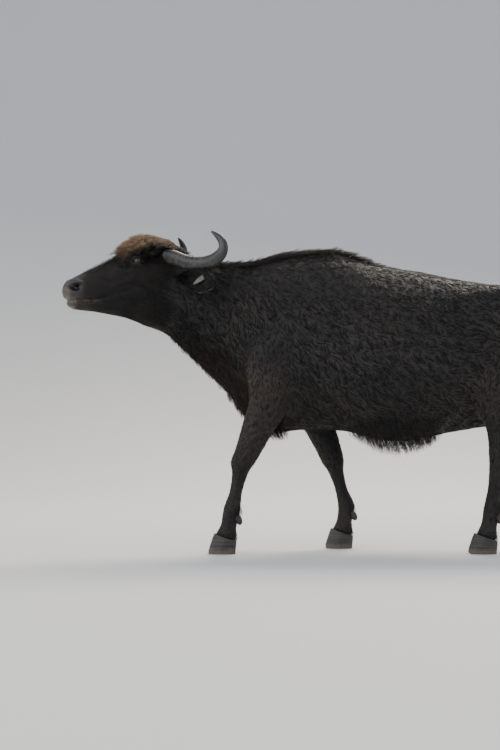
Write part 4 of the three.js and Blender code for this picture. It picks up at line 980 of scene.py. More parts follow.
TAG_ALONG, TAG_ACROSS, TAG_HALF, TAG_AWAY = 0.66, 0.22, 12, 7
TAG_SPOTS = [(TAG_ALONG, TAG_ACROSS, 0), (TAG_ALONG - 0.22, -0.8, 0), (TAG_ALONG, TAG_ACROSS, EAR_THICK)]
TAG_EDGE = [(10.5, -10), (TAG_HALF, 3), (8, 34), (2.5, 51)]
TAG_OUTLINE = TAG_EDGE + [(-across, down) for across, down in TAG_EDGE[::-1]]
pin, low, under = (ear_places(-1, np.array(t), np.array(-a), deep) for t, a, deep in TAG_SPOTS)
tag_out = unit(pin - under)
tag_hang = unit(low - pin)
tag_across = unit(np.cross(tag_hang, ear_frame(-1)[2]))
tag_face = unit(np.cross(tag_across, tag_hang))
centre = pin + tag_out * TAG_AWAY * MM
plate = corner_cut(np.array(TAG_OUTLINE, float), 4)
middle_of_plate = plate.mean(0)
layers = []
for inset, rise in ((1.6, -1.0), (0.4, -1.0), (0.0, -0.6), (0.0, 0.6), (0.4, 1.0), (1.6, 1.0)):
    flat = middle_of_plate + (plate - middle_of_plate) * (1 - inset / TAG_HALF)
    layers.append(centre + MM * (flat[:, :1] * tag_across + flat[:, 1:] * tag_hang + rise * tag_face))
button = [(0, 6.2), (0.25, 7.0), (0.6, 7.0), (0.85, 6.0), (1, 3.5)]
back_button = [(0, 8.6), (0.3, 9.0), (0.8, 8.6), (1, 7.0)]
tag = mesh_object("ear_tag_finished", *joined([
    tube(np.stack(layers)),
    spindle(centre - tag_face * 1.4 * MM, centre + tag_face * 3.2 * MM, button),
    spindle(pin - tag_out * 8.2 * MM, centre, [(0, 3), (1, 3)]),
    spindle(pin - tag_out * 6.3 * MM, pin - tag_out * 8.8 * MM, back_button),
]))
stand_for(tag, "tag", "ear_tag")

# %% [markdown]
# ## Which way the hair lies
# Hair on an animal has a lie: back and down over the body and the jaw, down the legs, towards the nose on
# top of the face. Each point of the skin takes its lie, the length of its hair and its place on an unwrap
# from the nearest point of the tube that it came from, because a tube knows its own long way. Neighbours
# are then averaged, so whorls stay soft.

# %% Lie, length and unwrap
PARTS = [  # grid, long way at the top and below, down at the top and below, tile on the unwrap, hair length
    (trunk, (-1, -1), (0.85, 0.85), (0, 0, 0.66, 0.62), [(0, 20), (0.2, 27), (0.5, 27), (0.75, 32), (1, 26)]),
    (skull, (1, -0.45), (0.1, 0.75), (0.68, 0, 0.31, 0.31),
     [(0, 22), (0.22, 14), (0.5, 9), (0.8, 6), (1, 4)]),
    (jaw, (-0.6, -0.7), (0.65, 0.45), (0.68, 0.33, 0.31, 0.29),
     [(0, 24), (0.3, 16), (0.6, 10), (0.9, 7), (1, 6)]),
    (tail, (1, 1), (0.2, 0.2), (0.88, 0.64, 0.11, 0.35), [(0, 22), (0.4, 20), (0.8, 30), (1, 30)]),
]
for number, rings in enumerate(legs.values()):
    tile = (0.22 * number, 0.64, 0.21, 0.35)
    PARTS.append((rings, (1, 1), (0.1, 0.1), tile, [(0, 26), (0.3, 22), (0.6, 15), (1, 10)]))
TRUNK_PART, SKULL_PART, JAW_PART, TAIL_PART = range(4)  # the legs come after these
samples = []
for number, (grid, long_way, down, tile, hair) in enumerate(PARTS):
    rings, around, _ = grid.shape
    share, turn = np.meshgrid(np.linspace(0, 1, rings), np.arange(around) / around, indexing="ij")
    upper = ramp(0.1, 0.85, np.sin(2 * np.pi * turn))[..., None]
    sign, fall = (below + (above - below) * upper for above, below in (long_way, down))
    way = unit(np.gradient(grid, axis=0)) * sign - UP * fall
    spots = np.stack([tile[0] + share * tile[2], tile[1] + turn * tile[3]], -1)
    long = smooth_table(hair)(share.ravel())[:, 0]
    names = np.full(len(long), number)
    samples.append((grid.reshape(-1, 3), way.reshape(-1, 3), spots.reshape(-1, 2), long, names))
sample_point, *knowledge = (np.concatenate(lots) for lots in zip(*samples))
tree = kdtree.KDTree(len(sample_point))
for i, spot in enumerate(sample_point):
    tree.insert(spot, i)
tree.balance()
nearest = np.array([tree.find(spot)[1] for spot in points])
lie, unwrap, hair_length, part = (known[nearest] for known in knowledge)
normals = mesh_normals(skin_mesh)
blended = np.concatenate([lie, hair_length[:, None]], 1)
LIE_ROUNDS = 14
for _ in range(LIE_ROUNDS):
    blended = 0.4 * blended + 0.6 * neighbour_mean(blended, edges, len(points))
lie = unit(blended[:, :3] - normals * (blended[:, :3] * normals).sum(1, keepdims=True))
hair_length = blended[:, 3]
skin_triangles = body_shell[1]
print("points nearest to each part", np.bincount(part))

# %% [markdown]
# ## Roots
# Roots are spread by area. A running sum of the triangles' areas, each times the wanted number of hairs
# there, is cut into equal steps, and each step falls on one triangle. A root keeps its three corner
# weights, so whatever the skin's points know can be read at the root.

# %% Roots


def scatter(density):
    """Triangles and corner weights of roots, as many in each triangle as its area times the density asks."""
    first, second, third = np.moveaxis(points[skin_triangles], 1, 0)
    area = 0.5 * np.linalg.norm(np.cross(second - first, third - first), axis=1)
    total = np.cumsum(area * density[skin_triangles].mean(1))
    count = int(total[-1])
    chosen = np.searchsorted(total, (np.arange(count) + random.random(count)) * total[-1] / count)
    first, second = np.sqrt(random.random(count)), random.random(count)
    return skin_triangles[chosen], np.stack([1 - first, first * (1 - second), first * second], -1)


def read(values, roots):
    """Values of the skin's points at the roots."""
    corners, weights = roots
    spread = weights.reshape(weights.shape + (1,) * (values.ndim - 1))
    return (values[corners] * spread).sum(1)


def root_unwrap(roots):
    """A root's place on the unwrap is that of its first corner, since the middle of a seam has no place."""
    return unwrap[roots[0][:, 0]] + (random.random((len(roots[0]), 2)) - 0.5) * 0.004


# %% [markdown]
# ## Strands
# One function makes every hair, from the velvet of the face to the long locks. A strand is a thin tapered
# solid with three sides. Its middle line is a parabola that leaves the skin one way and ends another, with
# a slow wave, and each strand keeps its own shade and its own small patch of the unwrap.

# %% Strands
PATCH = 0.003


def strands(start, normal, first, last, length, width, rings, wave=0.0, flat=0.5, turns=1.3):
    """Places start + L (s first + s^2 (last - first) / 2) + wave side s sin(turns 2 pi s + phase).

    The tip is therefore start + L (first + last) / 2. Across the line stand triangles of the given width that
    swell a little and then taper to a tip.
    """
    count = len(start)
    highest = (0, 0.5, 0.86)[min(rings, 3) - 1]  # where the last ring stands
    s = np.append(np.linspace(0, highest, rings), 1.0)[None, :, None]
    length = np.broadcast_to(length, (count,))[:, None, None] * MM
    first, last, normal = unit(first)[:, None], last[:, None], normal[:, None]
    line = start[:, None] + length * (s * first + 0.5 * s**2 * (last - first))
    way = unit(first + s * (last - first))
    side = unit(np.cross(way, normal))
    phase = random.random((count, 1, 1)) * 2 * np.pi
    line = line + side * np.reshape(wave, (-1, 1, 1)) * MM * s * np.sin(2 * np.pi * turns * s + phase)
    raised = np.cross(side, way)
    taper = (0.8 + 0.7 * s) * (1 - s**1.7)
    half = 0.5 * np.broadcast_to(width, (count,))[:, None, None] * MM * taper[:, :-1]
    angle = np.radians([90, 210, 330])[None, None, :, None]
    ring = line[:, :-1, None] + half[..., None] * (
        side[:, :-1, None] * np.cos(angle) + flat * raised[:, :-1, None] * np.sin(angle))
    grid = np.concatenate([ring.reshape(count, -1, 3), line[:, -1:]], 1)
    along = np.append(np.repeat(s[0, :-1, 0], 3), 1.0)
    across = np.append(np.tile([0.5, 0.0, 1.0], rings), 0.5)
    tip = 3 * rings
    fan = [(tip - 3, tip - 2, tip), (tip - 2, tip - 1, tip), (tip - 1, tip - 3, tip)]
    shape = np.concatenate([grid_triangles(rings, 3), fan, [(2, 1, 0)]])
    return grid, along, across, shape[:, ::-1]


def gathered(start, first, last, length, every, amount):
    """The last directions that bring the tips of neighbours together, as wet or shaggy hair hangs in locks.

    Each strand joins the nearest of a few chosen strands, and its tip moves a part of the way to theirs.
    """
    first, long = unit(first), (length * MM)[:, None]
    tips = start + long * (first + last) / 2
    chosen = np.nonzero(random.random(len(start)) < 1 / every)[0]
    nest = kdtree.KDTree(len(chosen))
    for i in chosen:
        nest.insert(start[i], i)
    nest.balance()
    leader = np.array([nest.find(spot)[1] for spot in start])
    tips = tips + (tips[leader] - tips) * (amount * random.uniform(0.5, 1.0, len(start)))[:, None]
    return 2 * (tips - start) / long - first


def patches(places_on_unwrap, along, across):
    """A patch of the unwrap for each strand, centred on its root's place."""
    within = np.stack([along - 0.5, across - 0.5], -1) * PATCH
    return places_on_unwrap[:, None] + within[None]


coat_lots = []


def keep_strands(name, made, places_on_unwrap, slot="hide"):
    """Keep a lot of strands for the pieces of the coat."""
    grid, along, across, shape = made
    shade = random.random(len(grid))
    coat_lots.append((name, grid, patches(places_on_unwrap, along, across), along, shape, shade, slot))
    print(name, len(grid), "strands", len(grid) * len(shape), "triangles")


# %% [markdown]
# ## The coat of body hair
# Most of the coat is short hair that lies flat and hangs together in thin wet tufts. Density and width are
# tied to length: long hair on the barrel stands further apart, and the velvet of the face is fine and
# close. The nose, the rims of the eyes and the horn bosses are bare.

# %% Body hair
COARSE = 1.0
ahead, aside, height = head_places(points)
bare = ramp(418, 446, ahead + 0.25 * (height - 1150)) * (height > 1128)
bare = np.maximum(bare, ramp(448, 462, ahead))
bare = np.maximum(bare, bell((height - 1118) / 7) * ramp(345, 365, ahead))
for side in SIDES.values():
    middle, outward, along, upward = eye_frame(side)
    away = points - middle
    oval = np.hypot((away @ along) / 0.029, (away @ upward) / 0.022) + (away @ outward < -0.03)
    bare = np.maximum(bare, ramp(1.06, 0.9, oval))
    boss = np.linalg.norm(points - at_side(HORN_AT, side, (0, 6, 0)), axis=1)
    bare = np.maximum(bare, ramp(1.1, 0.9, boss / 0.030))
udder = band(points[:, 2], 0.50, 0.53, 0.56, 0.62) * band(points[:, 0], 0.66, 0.72, 0.94, 1.0)
hair_length = hair_length * (1 - 0.6 * udder * (np.abs(points[:, 1]) < 0.12))
leg = part > TAIL_PART
spacing = 2.2 + 0.225 * hair_length
density = (1 - bare) / (spacing * MM) ** 2 / COARSE
density = np.where(leg, 0.62 * density, density)
on_face = ramp(10, 60, ahead) * ((part == SKULL_PART) | (part == JAW_PART))
density = density * (1 + 2.2 * on_face)
roots = scatter(density)
at, out = read(points, roots), unit(read(normals, roots))
way, long = read(lie, roots), read(hair_length, roots)
long = long * random.uniform(0.7, 1.25, len(at))
# the sideways turn of a tuft comes from slow waves over the body, so that neighbours lean together
sway = 0.30 * np.sin(at[:, 0] * 61 + 3 * np.sin(at[:, 2] * 37)) + 0.22 * np.sin(at[:, 2] * 83 + at[:, 1] * 71)
sway = sway + random.normal(0, 0.16, len(at))
beside = np.cross(out, way)
first = way * 0.93 + out * random.uniform(0.22, 0.42, len(at))[:, None] + beside * sway[:, None]
last = unit(way + out * random.uniform(-0.16, 0.03, len(at))[:, None] + beside * (1.6 * sway)[:, None])
last = gathered(at, first, last, long, 5, 0.55)
wide = (0.70 + 0.080 * long) * random.uniform(0.8, 1.25, len(at))
hair_uv = root_unwrap(roots)
hair_part = part[roots[0][:, 0]]
velvet = read(on_face, roots) > 0.5
BODY_LOTS = ("coat_body", "coat_head", "coat_legs", "coat_tail", "coat_face")
lot_of_part = np.array([0, 1, 1, 3, 2, 2, 2, 2])
region = np.where(velvet, BODY_LOTS.index("coat_face"), lot_of_part[hair_part])
wide, long = np.where(velvet, 0.66 * wide, wide), np.where(velvet, 1.3 * long, long)
flat_way = unit(way + out * random.uniform(0.10, 0.30, len(at))[:, None] + beside * (0.7 * sway)[:, None])
first, last = (np.where(velvet[:, None], flat_way, v) for v in (first, last))
sunk = np.where(velvet, 0.3, np.clip(0.075 * long - 0.5, 0.3, 1.2))[:, None] * MM
for number, name in enumerate(BODY_LOTS):
    k = region == number
    rings = 1 if name == "coat_face" else 2
    made = strands((at - out * sunk)[k], out[k], first[k], last[k], long[k], wide[k], rings, flat=0.55)
    keep_strands(name, made, hair_uv[k])

# %% [markdown]
# ## Long hair
# Long locks grow where they do on the animal: a shaggy mop over the brow, a mane along the neck and the
# hump, a beard under the throat, a fringe along the belly, and short tufts over the hooves and behind the
# fetlocks. Each lot takes its roots from the same skin, with a density that is a mask, and its own ways,
# lengths and curl.

# %% Mop, mane, beard and fringe


def long_lot(name, mask, per_metre, first_way, last_way, length, width, rings, wave, every=12, sunk=2.0):
    """Strands on the skin where a mask is above nothing, with ways and lengths read at their roots."""
    roots = scatter(mask * per_metre / COARSE)
    at, out = read(points, roots), unit(read(normals, roots))
    count = len(at)
    loose = random.normal(0, 0.14, (count, 3))
    first, last = read(first_way, roots) + loose, read(last_way, roots) + 1.5 * loose
    long = read(length * one, roots) * random.uniform(0.72, 1.12, count)
    wide = width * random.uniform(0.7, 1.25, count)
    last = gathered(at, first, unit(last), long, every, 0.8)
    curl = wave * random.uniform(0.2, 1.0, count)
    made = strands(at - out * sunk * MM, out, first, last, long, wide, rings, curl, turns=1.15)
    keep_strands(name, made, root_unwrap(roots))


straight, body_aside = -(points[:, 0] + SHIFT) / MM, points[:, 1] / MM
turned = np.arctan2(straight - NECK_START, body_aside + NECK_RADIUS)
in_neck, past_neck = (straight > NECK_START) & (turned < HEAD_TURN), turned >= HEAD_TURN
neck_aside = np.hypot(straight - NECK_START, body_aside + NECK_RADIUS) - NECK_RADIUS
body_reach = np.where(past_neck, POLL + ahead, straight)
body_reach = np.where(in_neck, NECK_START + NECK_RADIUS * turned, body_reach)
body_aside = np.where(past_neck & (body_reach > POLL - 60), aside, body_aside)
body_aside = np.where(in_neck, neck_aside, body_aside)
z, one = points[:, 2] / MM, np.ones(len(points))
down_facing = -normals[:, 2]
heading = np.clip((body_reach - NECK_START) / NECK_RADIUS, 0, HEAD_TURN)[:, None]
forward = np.concatenate([-np.cos(heading), -np.sin(heading), 0 * heading], 1)
rightward = np.concatenate([-np.sin(heading), np.cos(heading), 0 * heading], 1)
lean_out = rightward * np.clip(body_aside / 80, -1, 1)[:, None]

middle_out = np.abs(aside)
ragged = 9 * np.sin(aside / 8.5 + 2 * np.sin(aside / 21)) + 6 * np.sin(aside / 3.7 + ahead / 11)
over = ahead + 0.35 * middle_out + ragged
behind_brow = ramp(-62, -25, ahead) * (1 - bare)
brow = behind_brow * ramp(240, 196, over) * ramp(1306, 1340, height + 0.10 * ahead + 0.6 * ragged)
border = behind_brow * ramp(288, 226, over) * ramp(1272, 1316, height + 0.12 * ahead) * (1 - 0.6 * brow)
lock_at = ramp(120, 165, ahead) * ramp(252, 222, over) * ramp(62, 30, middle_out) * (down_facing < -0.2)
bridge = band(ahead, 205, 235, 385, 415) * ramp(52, 34, middle_out) * (down_facing < -0.35)
nose_way = headway(one, 0 * one, 0 * one)
side_way = headway(0 * one, one, 0 * one) * np.clip(aside / 70, -1, 1)[:, None]
mop_first = 0.75 * nose_way * ramp(-70, 60, ahead)[:, None] + 0.6 * side_way + 0.7 * UP + 0.25 * normals
mop_last = 0.85 * nose_way + 0.45 * side_way - 0.7 * UP
mop_long = 84 - 14 * ramp(120, 200, ahead)
long_lot("mop_long", brow, 66000, mop_first, mop_last, mop_long, 2.7, 6, 5.0, every=22)
long_lot("mop_under", brow, 42000, mop_first - 0.35 * UP, mop_last, 52, 2.5, 4, 3.5, every=14)
long_lot("mop_edge", border, 42000, 0.8 * nose_way + 0.3 * side_way + 0.45 * normals,
         mop_last - 0.25 * normals, 46 - 20 * ramp(1, 0.3, border), 1.9, 4, 2.0, every=8)
long_lot("forelock", lock_at, 16000, 0.9 * nose_way + 0.45 * UP + 0.25 * side_way, 0.7 * nose_way - 0.95 * UP,
         84 - 26 * ramp(20, 60, middle_out), 2.1, 6, 5.0)
long_lot("bridge", bridge, 52000, 0.6 * nose_way + 0.8 * normals, 0.9 * nose_way + 0.3 * normals,
         27 - 13 * ramp(220, 400, ahead), 1.1, 3, 0.8, every=5)

ridge = ramp(-270, -170, body_reach) * ramp(POLL + 10, POLL - 30, body_reach)
ridge *= (z > 1080) & (trunk_at(np.clip(body_reach, -300, 805))[:, 0] - z < 75)
ridge *= ramp(1, 0.5, np.abs(body_aside) / (24 + 40 * ramp(-270, 60, body_reach)))
beard = ramp(215, 260, body_reach) * ramp(POLL + 30, POLL - 20, body_reach)
beard *= ramp(0.2, 0.5, down_facing) * ramp(470, 520, z) * (part == TRUNK_PART)
hem = band(body_reach, -480, -430, -100, -60) * (z < 600)
hem *= ramp(0.5, 0.75, down_facing) * (part == TRUNK_PART)
stand, beard_long, hem_long = (smooth_table(rows)(body_reach)[:, 0] for rows in (
    [(-260, 26), (-150, 52), (0, 64), (180, 64), (330, 68), (480, 50), (728, 46)],
    [(250, 62), (330, 60), (420, 46), (600, 34), (760, 26)],
    [(-470, 30), (-400, 62), (-300, 82), (-190, 84), (-120, 64), (-60, 34)],
))
long_lot("mane", ridge, 34000, -0.75 * forward + 0.3 * lean_out + 0.72 * normals,
         -0.9 * forward + 0.5 * lean_out - 0.18 * UP, stand, 3.0, 4, 3.0)
long_lot("beard", beard, 26000, -0.45 * forward + 0.7 * normals - 0.25 * UP, -0.5 * forward - 0.8 * UP,
         beard_long, 2.8, 4, 2.0)
long_lot("fringe", hem, 11000, 0.5 * normals - 0.45 * forward - 0.4 * UP, -1.0 * UP - 0.28 * forward,
         hem_long, 1.9, 5, 4.0, every=6)

coronet = leg * band(z, 60, 72, 92, 112) * ramp(0.7, 0.3, down_facing)
fetlock = leg * band(z, 150, 172, 205, 228) * ramp(0.2, 0.5, normals[:, 0])
long_lot("coronet", coronet, 42000, 0.55 * normals - 0.75 * UP, 0.12 * normals - UP, 25, 1.6, 3, 1.0, every=6)
long_lot("fetlock", fetlock, 30000, 0.5 * normals - 0.7 * UP, 0.10 * normals - UP, 34, 1.6, 3, 1.5, every=8)

# %% [markdown]
# ## The switch, ears and lashes
# The tail ends in a brush of long strands that leave its last third. Hairs fringe the rims of the ears and
# fill their hollows, lashes stand along the upper lids, and a few stiff whiskers grow round the mouth.

# %% Switch
SWITCH_HAIRS, SWITCH_START, LINE_STEPS = 1500, 0.75, 400
at, line, way = curve_through(TAIL_LINE, LINE_STEPS)
count = int(SWITCH_HAIRS / COARSE)
t = SWITCH_START + (1 - SWITCH_START) * random.random(count) ** 0.8
row = (t * (LINE_STEPS - 1)).astype(int)
angle = 2 * np.pi * random.random(count)
out = unit(np.cross(way[row], ASIDE)) * np.cos(angle)[:, None] + ASIDE * np.sin(angle)[:, None]
start = in_frame(line[row] + out * (tail_radius(t)[:, :1] - 3.5))
room = line[row, 2] - line[-1, 2] + 36
first, last = way[row] + 0.30 * out, way[row] + 0.05 * out
long = np.minimum(random.uniform(90, 190, count), room)
last = last + random.normal(0, 0.05, (count, 3))
wide, wave = random.uniform(2.2, 3.8, count), random.uniform(1, 5, count)
made = strands(start, out, first, last, long, wide, 6, wave, turns=0.9)
left, low, broad, tall = PARTS[TAIL_PART][3]
switch_uv = np.stack([left + broad * t, low + tall * angle / (2 * np.pi)], -1)
keep_strands("switch", made, switch_uv, slot="tail_hair")

# %% Ear hair, lashes and whiskers
EAR_HAIRS = [  # kind, number, from and to across the leaf, depth, length, lift, lean of the tip, width, rings
    ("back", 2600, -0.98, 0.98, EAR_THICK + 0.3, 15, 0.3, 1.0, 1.7, 2),
    ("hollow", 700, -0.95, 0.95, -0.2, 26, 0.7, 0.7, 1.5, 4),
    ("edge", 420, 0.9, 1.0, 2.5, 30, 0.7, 1.0, 1.5, 4),
]
LASHES = 70
for number, side in enumerate(SIDES.values()):
    for name, count, low, high, deep, long, lift, lean, wide, rings in EAR_HAIRS:
        count = int(count / COARSE)
        t = 0.1 + 0.86 * random.random(count) ** (0.8 if name == "back" else 0.95)
        a = random.uniform(low, high, count)
        if name == "edge":
            a = a * np.where(random.random(count) < 0.5, -1, 1)
        shifts = ((0, 0), (0.01, 0), (0, 3))
        here, on, beyond = (ear_places(side, t + dt, a, np.full(count, deep) + dd) for dt, dd in shifts)
        out, way = unit(beyond - here) * (-1 if name == "hollow" else 1), unit(on - here)
        last = way * lean + 0.1 * out + random.normal(0, 0.15, (count, 3))
        long, wide = long * random.uniform(0.6, 1.2, count), wide * random.uniform(0.7, 1.3, count)
        made = strands(here - out * 0.6 * MM, out, way + lift * out, last, long, wide, rings)
        ear_uv = np.stack([0.68 + 0.15 * number + 0.14 * t, 0.02 + 0.14 * (a + 1)], -1)
        keep_strands("coat_ears", made, ear_uv)
    middle, outward, eye_along, eye_up = eye_frame(side)
    angle = np.radians(random.uniform(25, 155, int(LASHES / COARSE)))
    c, s = np.cos(angle)[:, None], np.sin(angle)[:, None]
    ring = middle + MM * (18.5 * c * eye_along + (9.5 * s + 1) * eye_up + (18.0 - 3.5 * c**2) * outward)
    first = outward + 0.15 * eye_up + 0.5 * c * eye_along
    last = 0.5 * outward - 0.35 * eye_up + 0.9 * c * eye_along
    long = random.uniform(13, 19, len(ring))
    made = strands(ring, np.broadcast_to(eye_up, ring.shape), first, last, long, 0.75, 4)
    lash_uv = np.stack([0.7 + 0.25 * angle / np.pi, np.full(len(ring), 0.34 + 0.1 * number)], -1)
    keep_strands("lashes", made, lash_uv)
lips = ramp(380, 410, ahead) * (np.abs(height - 1112) < 34) * (np.abs(aside) > 8)
chin = ramp(400, 430, ahead) * (height < 1100)
roots = scatter(np.maximum(lips, chin) * 2600 / COARSE)
at, out, way = read(points, roots), unit(read(normals, roots)), read(lie, roots)
made = strands(at - out * 0.5 * MM, out, out + 0.35 * way, 0.8 * out + 0.3 * way - 0.5 * UP,
               random.uniform(14, 30, len(at)), 0.6, 4)
keep_strands("whiskers", made, root_unwrap(roots))

# %% [markdown]
# ## Pieces of the coat
# The lots are gathered into pieces of at most 185,000 triangles, each cut from the coat in order of place.
# Every piece gets the unwrap of its roots, and two numbers for each point that the material reads: its
# strand's own shade and how far it is along the strand.

# %% Coat pieces
LIMIT = 185000
GROUPS = {
    "coat_body": ("coat_body",), "coat_head": ("coat_head",), "coat_face": ("coat_face", "bridge"),
    "coat_legs": ("coat_legs", "coat_tail", "coronet", "fetlock"),
    "long_mop": ("mop_long", "mop_under", "mop_edge", "forelock"), "long_mane": ("mane",),
    "long_fringe": ("beard", "fringe"), "long_switch": ("switch",),
    "coat_ears": ("coat_ears", "lashes", "whiskers"),
}


def coat_piece(name, lots, slot):
    """One mesh from many strands, with its unwrap and its two attributes."""
    gathered_lots, start = [], 0
    for grid, uv, along, shape, shade in lots:
        count, size, _ = grid.shape
        triangles = shape[None] + (start + size * np.arange(count))[:, None, None]
        gathered_lots.append((
            grid.reshape(-1, 3), uv.reshape(-1, 2), np.tile(along, count), np.repeat(shade, size),
            triangles.reshape(-1, 3)))
        start += count * size
    all_points, uv, along, shade, triangles = (np.concatenate(column) for column in zip(*gathered_lots))
    piece = mesh_object(name, all_points, triangles)
    add_map(piece, "OFBake", uv[triangles.ravel()])
    add_numbers(piece, "along", along)
    add_numbers(piece, "shade", shade)
    stand_for(piece, slot)
    return piece


coat = []
for group, members in GROUPS.items():
    lots = [lot for lot in coat_lots if lot[0] in members]
    slot = lots[0][6]
    strips = []
    for _, grid, uv, along, shape, shade, _ in lots:
        order = np.argsort(grid[:, 0, 0])
        most = LIMIT // len(shape)
        for i in range(0, len(order), most):
            some = order[i:i + most]
            strips.append((grid[some], uv[some], along, shape, shade[some]))
    packs, held = [[]], 0
    for strip in strips:
        size = len(strip[0]) * len(strip[3])
        if held and held + size > LIMIT:
            packs.append([])
            held = 0
        packs[-1].append(strip)
        held += size
    for number, pack in enumerate(packs):
        coat.append(coat_piece(f"{group}_{number + 1}", pack, slot))
    if group == "long_switch":
        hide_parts("tail_switch")
total = sum(len(piece.data.polygons) for piece in coat)
print(len(coat), "pieces of coat with", total, "triangles")

# %% [markdown]
# ## Shader arithmetic
# A finish is a small program of nodes. A Signal is one number in it, and adding or multiplying Signals in
# Python adds the Math nodes that do the same, so a mask can be written as a formula. Finish.add makes any
# other node from its type, its settings and what goes into its sockets.

# %% Signals and finishes


def arithmetic(operation, swapped=False):
    """A method that combines a value with another one, or the other one with it."""

    def method(self, other):
        return self.maths(operation, *((other, self) if swapped else (self, other)))

    return method


class Signal:
    """One value of a finish, with arithmetic that adds Math nodes."""

    def __init__(self, finish, socket):
        self.finish, self.socket = finish, socket

    def maths(self, operation, *values):
        """A Math node of the given operation on the values."""
        return self.finish.add("ShaderNodeMath", {"operation": operation}, dict(enumerate(values)))

    __add__, __radd__ = arithmetic("ADD"), arithmetic("ADD", swapped=True)
    __sub__, __rsub__ = arithmetic("SUBTRACT"), arithmetic("SUBTRACT", swapped=True)
    __mul__, __rmul__ = arithmetic("MULTIPLY"), arithmetic("MULTIPLY", swapped=True)
    __truediv__, __pow__ = arithmetic("DIVIDE"), arithmetic("POWER")

    def size(self):
        """The value without its sign."""
        return self.maths("ABSOLUTE", self)

    def most(self, other):
        """The larger of two values."""
        return self.maths("MAXIMUM", self, other)

    def step(self, low, high):
        """0 at low and 1 at high, with a smooth step between; low may be the larger."""
        return self.finish.add("ShaderNodeMapRange", {"interpolation_type": "SMOOTHSTEP"}, {
            "Value": self, "From Min": low, "From Max": high, "To Min": 0.0, "To Max": 1.0})

    def bell(self, middle, width):
        """exp(-((value - middle) / width)^2)."""
        away = (self - middle) / width
        return self.maths("POWER", math.e, 0.0 - away * away)


class Finish:
    """A material with one Principled shader, and the nodes that feed it."""

    def __init__(self, name, **constants):
        self.material = bpy.data.materials.new(name)
        self.material.use_nodes = True
        self.tree = self.material.node_tree
        self.shader = self.tree.nodes["Principled BSDF"]
        for label, value in constants.items():
            self.shader.inputs[label.replace("_", " ")].default_value = value
        self.spot = self.add("ShaderNodeTexCoord", {}, {}, "Object")
        split = self.add("ShaderNodeSeparateXYZ", {}, {0: self.spot}).socket.node
        self.x, self.y, self.z = (Signal(self, socket) for socket in split.outputs)

    def add(self, kind, settings, inputs, output=0):
        """A node of a kind, with its settings made first, then the values or links of its sockets."""
        node = self.tree.nodes.new(kind)
        for label, value in settings.items():
            setattr(node, label, value)
        for label, value in inputs.items():
            if isinstance(value, Signal):
                self.tree.links.new(value.socket, node.inputs[label])
            elif isinstance(value, tuple) and len(value) == 3 and node.inputs[label].type == "RGBA":
                node.inputs[label].default_value = (*value, 1)
            else:
                node.inputs[label].default_value = value
        return Signal(self, node.outputs[output])

    def mix(self, first, second, mask):
        """Two colours mixed by a mask."""
        settings = {"data_type": "RGBA", "clamp_factor": True}
        return self.add("ShaderNodeMix", settings, {0: mask, 6: first, 7: second}, 2)

    def paint(self, colour, *layers):
        """A colour with others laid over it in turn, each where its own mask says."""
        for tint, mask in layers:
            colour = self.mix(colour, tint, mask)
        return colour

    def stretched(self, scale, turn=(0, 0, 0), source=None):
        """Object coordinates, scaled and turned by a Mapping node."""
        inputs = {"Vector": source or self.spot, "Scale": scale, "Rotation": turn}
        return self.add("ShaderNodeMapping", {}, inputs)

    def noise(self, scale, detail=3.0, rough=0.55, source=None):
        """Soft noise, from 0 to 1 with most near a half."""
        inputs = {"Vector": source or self.spot, "Scale": scale, "Detail": detail, "Roughness": rough}
        return self.add("ShaderNodeTexNoise", {}, inputs)

    def cells(self, scale, feature="F1", source=None):
        """Distance to the nearest of scattered points, or to the borders between them."""
        inputs = {"Vector": source or self.spot, "Scale": scale}
        return self.add("ShaderNodeTexVoronoi", {"feature": feature}, inputs, "Distance")

    def attribute(self, name, output="Fac"):
        """An attribute of the piece."""
        return self.add("ShaderNodeAttribute", {"attribute_name": name}, {}, output)

    def feed(self, **signals):
        """Links signals to the sockets of the shader."""
        for label, signal in signals.items():
            self.tree.links.new(signal.socket, self.shader.inputs[label.replace("_", " ")])

    def bump(self, *layers):
        """A chain of Bump nodes, each a height in units of its distance in metres."""
        normal = None
        for height_signal, distance in layers:
            inputs = {"Height": height_signal, "Distance": distance, "Strength": 1.0}
            if normal:
                inputs["Normal"] = normal
            normal = self.add("ShaderNodeBump", {}, inputs)
        self.feed(Normal=normal)


def wear(finish, *pieces):
    """Gives pieces one finish."""
    for piece in pieces:
        piece.data.materials.clear()
        piece.data.materials.append(finish.material)


# %% [markdown]
# ## Markings
# The skin and the hair over it carry the same markings, so one function works them out for both, from
# places on the animal alone: a tawny brow, a grey nose and paler feet, and with them some painted light:
# brown at the chest that is partly a reddish tinge and partly a painted sunlit rim, brown along the crest
# that is painted rim light, painted sunlight on the tan of lips and chin, and a painted sheen on the ears.
# Head masks use the head's own directions, which are a turn of the object's by the angle that the head is
# turned.

# %% Markings
POLL_AT = place(POLL, 0, 0)


def head_signals(finish):
    """Ahead of the poll, aside and height of a place, in millimetres."""
    dx, dy = finish.x - float(POLL_AT[0]), finish.y - float(POLL_AT[1])
    return (dx * (-TURN_C) - dy * TURN_S) * 1000, (dy * TURN_C - dx * TURN_S) * 1000, finish.z * 1000


